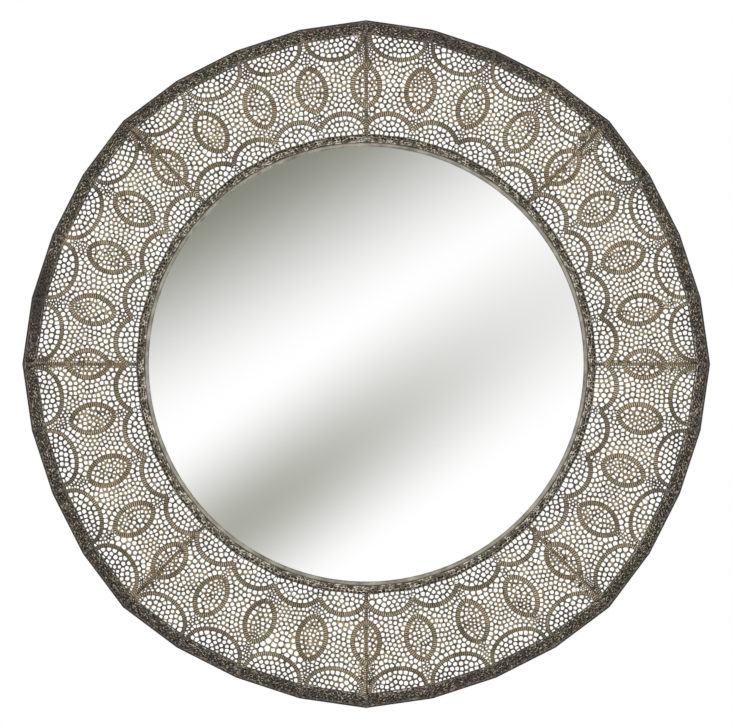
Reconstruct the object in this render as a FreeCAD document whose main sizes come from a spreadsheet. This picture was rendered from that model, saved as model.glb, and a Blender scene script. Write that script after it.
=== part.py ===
import FreeCAD, Part
import math
import os

import Sketcher

# Round wall mirror: a plain glass disc behind a smooth bezel, in a wide frame of pierced sheet metal.
# The sheet is folded like a shallow tray: a flat lace face, an inner wall that turns back to the bezel
# and a flared skirt that turns back to a flat ring on the wall. Eight panels meet over eight bent ribs.
# The part hangs upright: X to the right, Z up, the front towards -Y. Its origin is the middle of the
# back ring's back face, on the wall. Every piece is drawn in the mirror's own axes, with x to the right,
# y up and z the distance from the wall, and is then turned upright.

# Counts
PANEL_COUNT = 8
REPEATS_PER_PANEL = 4
CORNER_COUNT = PANEL_COUNT * REPEATS_PER_PANEL
OUTER_FAN_CELLS = 5
INNER_FAN_CELLS = 3
FIELD_ROWS = 3
SKIRT_CELLS = 3

# Turns about the mirror's axis
PANEL_TURN = 360.0 / PANEL_COUNT
REPEAT_TURN = 360.0 / CORNER_COUNT
HALF_REPEAT = math.radians(REPEAT_TURN / 2.0)

# Driving dimensions in millimetres
SIZES = {
    # Frame: a corner lies on a seam, beside one or midway between two, and the outline is not quite round
    "crease_radius": 381.0,
    "skirt_flare": 19.0,
    "skirt_inset": 1.0,
    "side_corner_drop": 3.5,
    "middle_corner_drop": 5.2,
    "frame_depth": 38.0,
    "recess_depth": 9.0,
    "lace_thickness": 1.0,
    "seam_gap": 0.3,
    "inner_wall_spread": 8.0,
    "inner_foot_inset": 7.9,
    # Piercing of the lace face and skirt
    "fold_margin": 2.5,
    "band_width": 5.5,
    "web_width": 2.4,
    "outer_scallop_depth": 27.0,
    "inner_scallop_rise": 25.0,
    "fan_hub": 7.0,
    "outer_tip_margin": 23.0,
    "inner_tip_margin": 31.0,
    "medallion_width": 37.0,
    "midrib_width": 4.0,
    "skirt_margin": 7.0,
    # Back ring and ribs
    "back_ring_width": 14.0,
    "back_ring_thickness": 2.0,
    "rib_size": 4.0,
    "rib_bend": 2.0,
    "rib_clearance": 0.3,
    "rib_stand_off": 5.0,
    "rib_foot_height": 20.0,
    # Bezel, glass and back
    "glass_radius": 262.0,
    "glass_thickness": 4.0,
    "glass_chamfer": 0.6,
    "glass_clearance": 0.5,
    "lip_lap": 10.8,
    "lip_thickness": 2.0,
    "lip_round": 1.2,
    "band_thickness": 2.5,
    "liner_thickness": 1.0,
    "board_thickness": 9.0,
    # Tabs that hold the board
    "tab_width": 14.0,
    "tab_thickness": 1.2,
    "tab_flap": 18.0,
    "tab_leg": 12.0,
    "tab_clearance": 0.05,
    "tab_screw_inset": 12.0,
    "tab_screw_length": 7.0,
    "tab_screw_radius": 1.5,
    "tab_head_radius": 3.2,
    # Strap hangers and their D-rings
    "hanger_spread": 150.0,
    "hanger_height": 120.0,
    "strap_width": 16.0,
    "strap_length": 46.0,
    "strap_thickness": 1.2,
    "strap_round": 6.0,
    "barrel_lift": 0.3,
    "ring_wire_radius": 1.5,
    "pin_clearance": 0.08,
    "ring_half_width": 13.5,
    "ring_corner": 4.0,
    "ring_side": 14.0,
    "hanger_screw_first": 13.0,
    "hanger_screw_second": 38.0,
    "hanger_screw_length": 8.0,
    "hanger_screw_radius": 1.75,
    "hanger_head_radius": 3.8,
    # Screw details
    "head_height": 2.0,
    "head_chamfer": 0.8,
    "hole_clearance": 0.3,
    "pilot_clearance": 0.05,
}

# Places along a medallion's half-length where its opening has corners
MEDALLION_STATIONS = (-0.88, -0.45, 0.0, 0.45, 0.88)

# Two places closer than this are the same one
SAME_PLACE = 1e-4

UPRIGHT = FreeCAD.Rotation(FreeCAD.Vector(1, 0, 0), 90)
AXIS = FreeCAD.Vector(0, 0, 1)


class Measure:
    """A number together with the sheet expression that gives it."""

    def __init__(self, value, text):
        self.value = value
        self.text = text

    def __add__(self, other):
        other = measure(other)
        return Measure(self.value + other.value, f"({self.text} + {other.text})")

    def __sub__(self, other):
        other = measure(other)
        return Measure(self.value - other.value, f"({self.text} - {other.text})")

    def __mul__(self, other):
        other = measure(other)
        return Measure(self.value * other.value, f"({self.text} * {other.text})")

    def __truediv__(self, other):
        other = measure(other)
        return Measure(self.value / other.value, f"({self.text} / {other.text})")

    def __neg__(self):
        return Measure(-self.value, f"(0 - {self.text})")

    def root(self):
        return Measure(math.sqrt(self.value), f"sqrt({self.text})")


def measure(number):
    if isinstance(number, Measure):
        return number
    return Measure(float(number), f"({float(number)!r})")


ZERO = measure(0)
ONE = measure(1)


class Layout:
    """The sheet's sizes, and the places that follow from them."""

    def __init__(self, sheet):
        for name in SIZES:
            setattr(self, name, Measure(float(sheet.get(name)), f"Sizes.{name}"))
        # Radii from the glass outwards
        self.lip_radius = self.glass_radius - self.lip_lap
        self.band_inner = self.glass_radius + self.glass_clearance
        self.band_outer = self.band_inner + self.band_thickness
        self.inner_foot_radius = self.band_outer - self.inner_foot_inset
        self.inner_crease_radius = self.inner_foot_radius + self.inner_wall_spread
        self.rim_radius = self.crease_radius + self.skirt_flare
        self.skirt_foot_radius = self.rim_radius - self.skirt_inset
        # Distances from the wall
        self.lip_front = self.frame_depth - self.recess_depth
        self.glass_front = self.lip_front - self.lip_thickness
        self.glass_back = self.glass_front - self.glass_thickness
        self.board_front = self.glass_back - self.liner_thickness
        self.board_back = self.board_front - self.board_thickness
        self.lace_back = self.frame_depth - self.lace_thickness
        # Hinge of the D-rings: the barrel stands on the board
        self.barrel_inner = self.ring_wire_radius + self.pin_clearance
        self.barrel_outer = self.barrel_inner + self.strap_thickness
        self.barrel_height = self.barrel_outer + self.barrel_lift
        # Screws, each place as right and up from the mirror's middle
        self.tab_screw_ring = self.band_outer - self.tab_screw_inset
        self.tab_places = []
        for number in range(PANEL_COUNT):
            turn = math.radians((number + 0.5) * PANEL_TURN)
            place = (self.tab_screw_ring * math.sin(turn), self.tab_screw_ring * math.cos(turn))
            self.tab_places.append(place)
        self.hanger_places = []
        for side in (-1, 1):
            for drop in (self.hanger_screw_first, self.hanger_screw_second):
                self.hanger_places.append((self.hanger_spread * side, self.hanger_height - drop))


# Sketches and features

def bind(sketch, kind, points, size):
    index = sketch.addConstraint(Sketcher.Constraint(kind, *points, size.value))
    sketch.setExpression(f"Constraints[{index}]", size.text)


def bind_point(sketch, geometry, position, x, y):
    bind(sketch, "DistanceX", (-1, 1, geometry, position), x)
    bind(sketch, "DistanceY", (-1, 1, geometry, position), y)


def new_sketch(body, name, role):
    sketch = body.newObject("Sketcher::SketchObject", f"{body.Name}_{name}")
    plane = next(item for item in body.Origin.OriginFeatures if item.Role == role)
    sketch.AttachmentSupport = [(plane, "")]
    sketch.MapMode = "FlatFace"
    return sketch


def draw_outline(sketch, corners):
    """Closed outline of straight lines through corners, each a pair of measures."""
    count = len(corners)
    vectors = [FreeCAD.Vector(x.value, y.value, 0) for x, y in corners]
    for index in range(count):
        line = Part.LineSegment(vectors[index], vectors[(index + 1) % count])
        sketch.addGeometry(line, False)
    for index in range(count):
        sketch.addConstraint(Sketcher.Constraint("Coincident", index, 2, (index + 1) % count, 1))
    for index, (x, y) in enumerate(corners):
        bind_point(sketch, index, 1, x, y)


def draw_circle(sketch, x, y, radius):
    centre = FreeCAD.Vector(x.value, y.value, 0)
    index = sketch.addGeometry(Part.Circle(centre, AXIS, radius.value), False)
    bind_point(sketch, index, 3, x, y)
    bind(sketch, "Radius", (index,), radius)


def new_body(doc, name, turn=0.0):
    """Body in the mirror's axes, turned clockwise about them and then upright."""
    body = doc.addObject("PartDesign::Body", name)
    body.Label = name
    around = FreeCAD.Rotation(AXIS, -turn)
    body.Placement = FreeCAD.Placement(FreeCAD.Vector(), UPRIGHT.multiply(around))
    return body


def move_body(body, right, up, depth):
    body.setExpression("Placement.Base.x", right.text)
    body.setExpression("Placement.Base.y", (-depth).text)
    body.setExpression("Placement.Base.z", up.text)


def add_pad(body, sketch, length, middle=False, backwards=False):
    pad = body.newObject("PartDesign::Pad", f"{sketch.Name}_pad")
    pad.Profile = sketch
    pad.setExpression("Length", length.text)
    pad.Midplane = middle
    pad.Reversed = backwards
    return pad


def add_pocket(doc, body, sketch, length, backwards=False):
    """Cut sketch into the body; it is an error if nothing is cut."""
    doc.recompute()
    before = body.Shape.Volume
    pocket = body.newObject("PartDesign::Pocket", f"{sketch.Name}_pocket")
    pocket.Profile = sketch
    pocket.setExpression("Length", length.text)
    pocket.Reversed = backwards
    doc.recompute()
    if body.Shape.Volume >= before:
        raise RuntimeError(f"{pocket.Name} cuts nothing")
    return pocket


def add_edge_feature(doc, body, kind, property_name, size, wanted):
    """Fillet or chamfer on the edges of the body's last feature that wanted() accepts."""
    doc.recompute()
    base = body.Tip
    names = [f"Edge{number}" for number, edge in enumerate(base.Shape.Edges, 1) if wanted(edge)]
    feature = body.newObject(kind, f"{base.Name}_edges")
    feature.Base = (base, names)
    feature.setExpression(property_name, size.text)
    return feature


def along_x_at(points):
    """Test for straight edges along x that pass through one of the (y, z) points."""
    def wanted(edge):
        start = edge.Vertexes[0].Point
        end = edge.Vertexes[-1].Point
        straight = abs(start.y - end.y) < SAME_PLACE and abs(start.z - end.z) < SAME_PLACE
        near = any(math.hypot(start.y - y.value, start.z - z.value) < SAME_PLACE for y, z in points)
        return straight and near
    return wanted


def circle_edge(radius, height):
    """Test for circular edges of one radius at one height."""
    def wanted(edge):
        if not isinstance(edge.Curve, Part.Circle):
            return False
        same_radius = abs(edge.Curve.Radius - radius.value) < SAME_PLACE
        return same_radius and abs(edge.Curve.Center.z - height.value) < SAME_PLACE
    return wanted


# Bezel, glass, liner and board

def make_mirror_band(doc, at):
    """L-section ring: the lip in front of the glass, and the wall round glass, liner and board."""
    body = new_body(doc, "mirror_band")
    sketch = new_sketch(body, "section", "XZ_Plane")
    draw_outline(sketch, [
        (at.lip_radius, at.glass_front),
        (at.lip_radius, at.lip_front),
        (at.band_outer, at.lip_front),
        (at.band_outer, at.board_back),
        (at.band_inner, at.board_back),
        (at.band_inner, at.glass_front),
    ])
    ring = body.newObject("PartDesign::Revolution", "mirror_band_ring")
    ring.Profile = sketch
    ring.ReferenceAxis = (sketch, ["V_Axis"])
    lip_edge = circle_edge(at.lip_radius, at.lip_front)
    add_edge_feature(doc, body, "PartDesign::Fillet", "Radius", at.lip_round, lip_edge)
    return body


def make_disc(doc, name, at, thickness, back):
    """Disc that fills the band, with its back at a distance from the wall."""
    body = new_body(doc, name)
    move_body(body, ZERO, ZERO, back)
    sketch = new_sketch(body, "outline", "XY_Plane")
    draw_circle(sketch, ZERO, ZERO, at.glass_radius)
    add_pad(body, sketch, thickness)
    return body


def make_mirror_glass(doc, at):
    body = make_disc(doc, "mirror_glass", at, at.glass_thickness, at.glass_back)
    front_edge = circle_edge(at.glass_radius, at.glass_thickness)
    back_edge = circle_edge(at.glass_radius, ZERO)

    def both(edge):
        return front_edge(edge) or back_edge(edge)

    add_edge_feature(doc, body, "PartDesign::Chamfer", "Size", at.glass_chamfer, both)
    return body


def make_backing_board(doc, at):
    """Board with pilot holes for the screws of the tabs and of the hangers."""
    body = make_disc(doc, "backing_board", at, at.board_thickness, at.board_back)
    groups = (
        ("tab_pilots", at.tab_places, at.tab_screw_radius, at.tab_screw_length - at.tab_thickness),
        ("hanger_pilots", at.hanger_places, at.hanger_screw_radius,
         at.hanger_screw_length - at.strap_thickness),
    )
    for name, places, radius, depth in groups:
        sketch = new_sketch(body, name, "XY_Plane")
        for right, up in places:
            draw_circle(sketch, right, up, radius + at.pilot_clearance)
        add_pocket(doc, body, sketch, depth + at.pilot_clearance, backwards=True)
    return body


# Ribs

def make_rib(doc, name, at, turn):
    """Square bar from the band up to the lace, out under a seam and down the skirt to the back ring."""
    half = at.rib_size / 2
    post = at.band_outer + at.rib_stand_off + half
    foot_low = at.rib_foot_height - half
    foot_high = at.rib_foot_height + half
    arm_low = at.lace_back - at.rib_size
    # The leg leans with the skirt and keeps clear of the two skirt facets that meet at the seam
    lean = (at.skirt_foot_radius - at.crease_radius) / (at.frame_depth - at.back_ring_thickness)
    slant = (ONE + lean * lean).root()
    corner_room = half * math.tan(HALF_REPEAT) + at.rib_clearance
    clear = (at.lace_thickness / math.cos(HALF_REPEAT) + corner_room) * slant

    def leg_outside(depth):
        return at.crease_radius + (at.frame_depth - depth) * lean - clear

    def leg_inside(depth):
        return leg_outside(depth) - at.rib_size * slant

    ring_front = at.back_ring_thickness
    outer_bends = [
        (post + half, foot_low),
        (post - half, at.lace_back),
        (leg_outside(at.lace_back), at.lace_back),
    ]
    inner_bends = [
        (post - half, foot_high),
        (post + half, arm_low),
        (leg_inside(arm_low), arm_low),
    ]
    body = new_body(doc, name, turn)
    sketch = new_sketch(body, "profile", "YZ_Plane")
    draw_outline(sketch, [
        (at.band_outer, foot_low),
        outer_bends[0],
        inner_bends[1],
        inner_bends[2],
        (leg_inside(ring_front), ring_front),
        (leg_outside(ring_front), ring_front),
        outer_bends[2],
        outer_bends[1],
        inner_bends[0],
        (at.band_outer, foot_high),
    ])
    add_pad(body, sketch, at.rib_size, middle=True)
    add_edge_feature(doc, body, "PartDesign::Fillet", "Radius", at.rib_bend, along_x_at(inner_bends))
    outer_bend = at.rib_bend + at.rib_size
    add_edge_feature(doc, body, "PartDesign::Fillet", "Radius", outer_bend, along_x_at(outer_bends))
    return body


# Retaining tabs

def make_tab(doc, name, at, turn):
    """L-shaped tab: its leg lies on the outside of the band, its flap on the back of the board."""
    leg_inside = at.band_outer + at.tab_clearance
    leg_outside = leg_inside + at.tab_thickness
    flap_back = at.board_back - at.tab_thickness
    flap_end = at.band_outer - at.tab_flap
    leg_end = at.board_back + at.tab_leg
    body = new_body(doc, name, turn)
    sketch = new_sketch(body, "profile", "YZ_Plane")
    draw_outline(sketch, [
        (flap_end, flap_back),
        (leg_outside, flap_back),
        (leg_outside, leg_end),
        (leg_inside, leg_end),
        (leg_inside, at.board_back),
        (flap_end, at.board_back),
    ])
    add_pad(body, sketch, at.tab_width, middle=True)
    bend = along_x_at([(leg_outside, flap_back)])
    add_edge_feature(doc, body, "PartDesign::Fillet", "Radius", at.tab_thickness, bend)
    hole = new_sketch(body, "hole", "XY_Plane")
    draw_circle(hole, ZERO, at.tab_screw_ring, at.tab_screw_radius + at.hole_clearance)
    add_pocket(doc, body, hole, at.board_back + at.tab_thickness, backwards=True)
    return body


# Screws

def make_screws(doc, name, at, places, seat, head_radius, shank_radius, shank_length):
    """Group of like screws with their heads on one plane, at a distance from the wall."""
    body = new_body(doc, name)
    body.AllowCompound = True
    move_body(body, ZERO, ZERO, seat)
    heads = new_sketch(body, "heads", "XY_Plane")
    shanks = new_sketch(body, "shanks", "XY_Plane")
    for right, up in places:
        draw_circle(heads, right, up, head_radius)
        draw_circle(shanks, right, up, shank_radius)
    add_pad(body, heads, at.head_height, backwards=True)
    add_edge_feature(doc, body, "PartDesign::Chamfer", "Size", at.head_chamfer,
                     circle_edge(head_radius, -at.head_height))
    add_pad(body, shanks, shank_length)
    return body


# Strap hangers and D-rings

def make_hanger(doc, name, at, side):
    """Strap on the board, its upper end rolled into a barrel for the D-ring."""
    body = new_body(doc, name)
    move_body(body, at.hanger_spread * side, at.hanger_height, at.board_back)
    strap = new_sketch(body, "strap", "YZ_Plane")
    draw_outline(strap, [
        (-at.strap_length, -at.strap_thickness),
        (ZERO, -at.strap_thickness),
        (ZERO, ZERO),
        (-at.strap_length, ZERO),
    ])
    add_pad(body, strap, at.strap_width, middle=True)

    def tip_corner(edge):
        start = edge.Vertexes[0].Point
        end = edge.Vertexes[-1].Point
        at_tip = abs(start.y + at.strap_length.value) < SAME_PLACE
        across_strap = abs(end.x - start.x) < SAME_PLACE and abs(end.y - start.y) < SAME_PLACE
        return at_tip and across_strap

    add_edge_feature(doc, body, "PartDesign::Fillet", "Radius", at.strap_round, tip_corner)
    barrel = new_sketch(body, "barrel", "YZ_Plane")
    draw_circle(barrel, ZERO, -at.barrel_height, at.barrel_outer)
    draw_circle(barrel, ZERO, -at.barrel_height, at.barrel_inner)
    add_pad(body, barrel, at.strap_width, middle=True)
    holes = new_sketch(body, "holes", "XY_Plane")
    for drop in (at.hanger_screw_first, at.hanger_screw_second):
        draw_circle(holes, ZERO, -drop, at.hanger_screw_radius + at.hole_clearance)
    add_pocket(doc, body, holes, at.strap_thickness)
    return body


def make_d_ring(doc, name, at, side):
    """Wire ring that hangs from its straight side, which turns in the barrel."""
    body = new_body(doc, name)
    move_body(body, at.hanger_spread * side, at.hanger_height, at.board_back - at.barrel_height)
    path = new_sketch(body, "path", "XY_Plane")
    straight = at.ring_half_width - at.ring_corner
    bottom = at.ring_corner + at.ring_side
    corners = [
        (ZERO, ZERO),
        (straight, ZERO),
        (at.ring_half_width, -at.ring_corner),
        (at.ring_half_width, -bottom),
        (-at.ring_half_width, -bottom),
        (-at.ring_half_width, -at.ring_corner),
        (-straight, ZERO),
    ]
    ends = [FreeCAD.Vector(x.value, y.value, 0) for x, y in corners]
    corner_centres = [
        FreeCAD.Vector(straight.value, -at.ring_corner.value, 0),
        FreeCAD.Vector(-straight.value, -at.ring_corner.value, 0),
    ]

    def corner_arc(centre, quarter):
        circle = Part.Circle(centre, AXIS, at.ring_corner.value)
        return Part.ArcOfCircle(circle, quarter * math.pi / 2, (quarter + 1) * math.pi / 2)

    bow = Part.Circle(FreeCAD.Vector(0, -bottom.value, 0), AXIS, at.ring_half_width.value)
    # Lines and arcs in turn; an arc runs anticlockwise, so its second end meets the line before it
    path.addGeometry([
        Part.LineSegment(ends[0], ends[1]),
        corner_arc(corner_centres[0], 0),
        Part.LineSegment(ends[2], ends[3]),
        Part.ArcOfCircle(bow, math.pi, 2 * math.pi),
        Part.LineSegment(ends[4], ends[5]),
        corner_arc(corner_centres[1], 1),
        Part.LineSegment(ends[6], ends[0]),
    ], False)
    for line, arc in ((0, 1), (2, 3), (4, 5)):
        following = line + 2
        path.addConstraint(Sketcher.Constraint("Coincident", line, 2, arc, 2))
        path.addConstraint(Sketcher.Constraint("Coincident", arc, 1, following, 1))
    path.addConstraint(Sketcher.Constraint("Coincident", 6, 2, 0, 1))
    for line, first in ((0, 0), (2, 2), (4, 4), (6, 6)):
        bind_point(path, line, 1, *corners[first])
    bind_point(path, 0, 2, *corners[1])
    bind_point(path, 2, 2, *corners[3])
    bind_point(path, 4, 2, *corners[5])
    bind(path, "Radius", (1,), at.ring_corner)
    bind(path, "DistanceY", (-1, 1, 3, 3), -bottom)
    bind(path, "Radius", (5,), at.ring_corner)
    wire = new_sketch(body, "wire", "YZ_Plane")
    draw_circle(wire, ZERO, ZERO, at.ring_wire_radius)
    doc.recompute()
    pipe = body.newObject("PartDesign::AdditivePipe", f"{name}_pipe")
    pipe.Profile = wire
    pipe.Spine = (path, [f"Edge{number}" for number in range(1, len(corners) + 1)])
    return body


# Corners and planes of the folded sheet

def corner_ratio(number, at):
    """Radius of a frame corner as a part of the radius at a seam."""
    place = number % REPEATS_PER_PANEL
    if place == 0:
        return 1.0
    middle = place * 2 == REPEATS_PER_PANEL
    drop = at.middle_corner_drop if middle else at.side_corner_drop
    return 1.0 - drop.value / at.rim_radius.value


def corner_point(number, radius, depth):
    """Point at a corner's turn, clockwise from the top."""
    turn = math.radians(number * REPEAT_TURN)
    return FreeCAD.Vector(radius * math.sin(turn), radius * math.cos(turn), depth)


class Plane:
    """Plane of points whose product with the normal is the offset."""

    def __init__(self, normal, offset):
        self.normal = normal
        self.offset = offset

    def moved(self, distance):
        return Plane(self.normal, self.offset + distance)


def plane_through(first, second, third, towards):
    normal = (second - first).cross(third - first).normalize()
    if normal.dot(towards) < 0:
        normal = normal * -1
    return Plane(normal, normal.dot(first))


def level(depth):
    return Plane(AXIS, depth)


def meet(one, two, three):
    """Point where three planes meet."""
    cross = two.normal.cross(three.normal)
    total = cross * one.offset
    total = total + three.normal.cross(one.normal) * two.offset
    total = total + one.normal.cross(two.normal) * three.offset
    return total * (1.0 / one.normal.dot(cross))


def seam_planes(at):
    """Planes of a panel's two ends, half a seam gap inside its seams."""
    half_gap = at.seam_gap.value / 2
    last = math.radians(PANEL_TURN)
    return (
        Plane(FreeCAD.Vector(1, 0, 0), half_gap),
        Plane(FreeCAD.Vector(math.cos(last), -math.sin(last), 0), -half_gap),
    )


def facet_planes(upper, lower, towards):
    """Planes of a panel's facets between two rows of corners."""
    planes = []
    for facet in range(REPEATS_PER_PANEL):
        out = corner_point(facet + 0.5, 1.0, 0.0)
        planes.append(plane_through(upper[facet], upper[facet + 1], lower[facet], towards(out)))
    return planes


def fold_line(planes, ends, depth):
    """Corners of a row of facets at a distance from the wall, from one end of the panel to the other."""
    first, last = ends
    points = [meet(planes[0], first, level(depth))]
    for before, after in zip(planes, planes[1:]):
        points.append(meet(before, after, level(depth)))
    points.append(meet(planes[-1], last, level(depth)))
    return points


def flat_face(points):
    return Part.Face(Part.makePolygon(points + [points[0]]))


def make_strip(planes, ends, thickness, low, high):
    """Bent strip of sheet behind a row of facets, between two distances from the wall."""
    hidden = [plane.moved(-thickness) for plane in planes]
    front_high = fold_line(planes, ends, high)
    front_low = fold_line(planes, ends, low)
    back_high = fold_line(hidden, ends, high)
    back_low = fold_line(hidden, ends, low)
    faces = [
        flat_face(front_high + back_high[::-1]),
        flat_face(front_low + back_low[::-1]),
    ]
    for upper, lower in ((front_high, front_low), (back_high, back_low)):
        for index in range(len(planes)):
            faces.append(flat_face([upper[index], upper[index + 1], lower[index + 1], lower[index]]))
    for end in (0, -1):
        faces.append(flat_face([front_high[end], front_low[end], back_low[end], back_high[end]]))
    solid = Part.Solid(Part.Shell(faces))
    if solid.Volume < 0:
        solid.reverse()
    return solid


# Openings of the lace

def fan_cells(at, middle, half_width, height, count, first_turn):
    """Wedges of a fan: an oval half about (0, middle), cut into cells that leave a web between them."""
    cells = []
    step = math.pi / count
    half_web = at.web_width.value / 2
    reach = min(half_width, abs(height))
    inner = at.fan_hub.value / reach
    for index in range(count):
        start = first_turn + index * step
        cell = []
        for share, side in ((inner, 0), (1.0, 0), (1.0, 1), (inner, 1)):
            slip = half_web / (share * reach)
            turn = start + slip if side == 0 else start + step - slip
            cell.append((half_width * share * math.cos(turn), middle + height * share * math.sin(turn)))
        cells.append(cell)
    return cells


def medallion_edge(at, centre, half_length, radius, border):
    """Half-width of a medallion at a radius, less a border, and nothing past its tips."""
    share = (radius - centre) / half_length
    return (at.medallion_width.value / 2 - border) * max(0.0, 1.0 - share * share)


def face_cells(at):
    """Openings of one repeat, as (across, out) places about the line midway between two corners."""
    lowest_crease = at.crease_radius.value * min(corner_ratio(number, at) for number in range(CORNER_COUNT))
    tan_half = math.tan(HALF_REPEAT)
    cos_half = math.cos(HALF_REPEAT)
    sin_half = math.sin(HALF_REPEAT)
    half_band = at.band_width.value / 2
    web = at.web_width.value
    fan_top = lowest_crease * cos_half - at.fold_margin.value
    fan_base = at.inner_crease_radius.value * cos_half + at.fold_margin.value
    cells = []
    # Fans inside the scallops along the outer and the inner fold
    outer_depth = at.outer_scallop_depth.value - at.band_width.value
    outer_half = fan_top * tan_half - half_band
    cells += fan_cells(at, fan_top, outer_half, -outer_depth, OUTER_FAN_CELLS, 0.0)
    inner_rise = at.inner_scallop_rise.value - at.band_width.value
    inner_half = fan_base * tan_half - half_band
    cells += fan_cells(at, fan_base, inner_half, inner_rise, INNER_FAN_CELLS, 0.0)
    # Half medallions along both edges of the repeat
    tip_out = lowest_crease - at.outer_tip_margin.value
    tip_in = at.inner_crease_radius.value + at.inner_tip_margin.value
    centre = (tip_out + tip_in) / 2
    half_length = (tip_out - tip_in) / 2
    midrib = at.midrib_width.value / 2
    leaf = []
    for station in MEDALLION_STATIONS:
        along = centre + station * half_length
        width = medallion_edge(at, centre, half_length, along, at.band_width.value)
        leaf.append((along, max(midrib, width) if abs(station) < max(MEDALLION_STATIONS) else midrib))
    for side in (-1, 1):
        cells.append([
            (side * (along * sin_half - away * cos_half), along * cos_half + away * sin_half)
            for along, away in leaf
        ])
    # Field between the medallions: rows of cells on both sides of the middle line
    field_low = fan_base + at.inner_scallop_rise.value + web
    field_high = fan_top - at.outer_scallop_depth.value - web
    row_height = (field_high - field_low - web * (FIELD_ROWS - 1)) / FIELD_ROWS

    def field_edge(out):
        return out * tan_half - medallion_edge(at, centre, half_length, out, 0.0) - web

    for row in range(FIELD_ROWS):
        low = field_low + row * (row_height + web)
        high = low + row_height
        for side in (-1, 1):
            near = side * web / 2
            cells.append([
                (near, low),
                (side * field_edge(low), low),
                (side * field_edge(high), high),
                (near, high),
            ])
    return cells


def place_on_face(cell, facet, depth):
    """Corners of a cell on one facet of the lace face."""
    out = corner_point(facet + 0.5, 1.0, 0.0)
    across = FreeCAD.Vector(out.y, -out.x, 0)
    lift = FreeCAD.Vector(0, 0, depth)
    return [across * x + out * y + lift for x, y in cell]


def skirt_cutters(at, plane, upper, lower):
    """Prisms through one skirt facet, a row of openings inside its margins."""
    thickness = at.lace_thickness.value
    web = at.web_width.value
    top = (upper[1] - upper[0]).normalize()
    down = top.cross(plane.normal)
    if down.z > 0:
        down = down * -1
    slant = abs((lower[0] - upper[0]).dot(down))
    middle_high = (upper[0] + upper[1]) * 0.5 + down * at.skirt_margin.value
    middle_low = (upper[0] + upper[1]) * 0.5 + down * (slant - at.skirt_margin.value)
    half = upper[1].distanceToPoint(upper[0]) / 2 - web
    width = (2 * half - web * (SKIRT_CELLS - 1)) / SKIRT_CELLS
    cutters = []
    for index in range(SKIRT_CELLS):
        left = -half + index * (width + web)
        right = left + width
        corners = [
            middle_high + top * left,
            middle_high + top * right,
            middle_low + top * right,
            middle_low + top * left,
        ]
        outside = [corner + plane.normal * thickness for corner in corners]
        cutters.append(flat_face(outside).extrude(plane.normal * (-3 * thickness)))
    return cutters


def lace_panel_shape(at):
    """Folded and pierced sheet from the seam at the top to the next one, clockwise."""
    front = at.frame_depth.value
    thickness = at.lace_thickness.value
    ring_front = at.back_ring_thickness.value
    lip_front = at.lip_front.value
    numbers = range(REPEATS_PER_PANEL + 1)
    ends = seam_planes(at)
    crease = [corner_point(n, at.crease_radius.value * corner_ratio(n, at), front) for n in numbers]
    rim = [corner_point(n, at.skirt_foot_radius.value * corner_ratio(n, at), ring_front) for n in numbers]
    inner_crease = [corner_point(n, at.inner_crease_radius.value, front) for n in numbers]
    inner_foot = [corner_point(n, at.inner_foot_radius.value, lip_front) for n in numbers]
    skirt = facet_planes(crease, rim, lambda out: out)
    inner = facet_planes(inner_crease, inner_foot, lambda out: out * -1)
    # Flat face with all its openings
    outline = fold_line(skirt, ends, front) + fold_line(inner, ends, front)[::-1]
    loops = [Part.makePolygon(outline + [outline[0]])]
    for facet in range(REPEATS_PER_PANEL):
        for cell in face_cells(at):
            points = place_on_face(cell, facet, front)
            loops.append(Part.makePolygon(points + [points[0]]))
    plate = Part.makeFace(loops, "Part::FaceMakerBullseye").extrude(AXIS * -thickness)
    # Skirt and inner wall folded back from it
    skirt_strip = make_strip(skirt, ends, thickness, ring_front, front)
    wall_strip = make_strip(inner, ends, thickness, lip_front, front)
    cutters = []
    high = fold_line(skirt, ends, front)
    low = fold_line(skirt, ends, ring_front)
    for facet, plane in enumerate(skirt):
        cutters += skirt_cutters(at, plane, high[facet:facet + 2], low[facet:facet + 2])
    pierced_skirt = skirt_strip.cut(Part.makeCompound(cutters))
    folded = plate.fuse([pierced_skirt, wall_strip]).removeSplitter()
    return folded.Solids[0]


def make_lace_panels(doc, at):
    shape = lace_panel_shape(at)
    panels = []
    for number in range(PANEL_COUNT):
        name = f"lace_panel_{number + 1}"
        panel = doc.addObject("Part::Feature", name)
        panel.Label = name
        panel.Shape = shape
        around = FreeCAD.Rotation(AXIS, -number * PANEL_TURN)
        panel.Placement = FreeCAD.Placement(FreeCAD.Vector(), UPRIGHT.multiply(around))
        panels.append(panel)
    return panels


def make_back_ring(doc, at):
    """Flat ring with the frame's 32 corners, flat on the wall."""
    rim = at.rim_radius.value
    loops = []
    for radius in (rim, rim - at.back_ring_width.value):
        points = [corner_point(n, radius * corner_ratio(n, at), 0.0) for n in range(CORNER_COUNT)]
        loops.append(Part.makePolygon(points + [points[0]]))
    ring = doc.addObject("Part::Feature", "back_ring")
    ring.Label = "back_ring"
    ring.Shape = Part.makeFace(loops, "Part::FaceMakerBullseye").extrude(AXIS * at.back_ring_thickness.value)
    ring.Placement = FreeCAD.Placement(FreeCAD.Vector(), UPRIGHT)
    return ring


# The whole mirror

def make_sheet(doc):
    sheet = doc.addObject("Spreadsheet::Sheet", "Sizes")
    for row, (name, value) in enumerate(SIZES.items(), 1):
        sheet.set(f"A{row}", str(value))
        sheet.setAlias(f"A{row}", name)
    doc.recompute()
    return sheet


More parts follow.
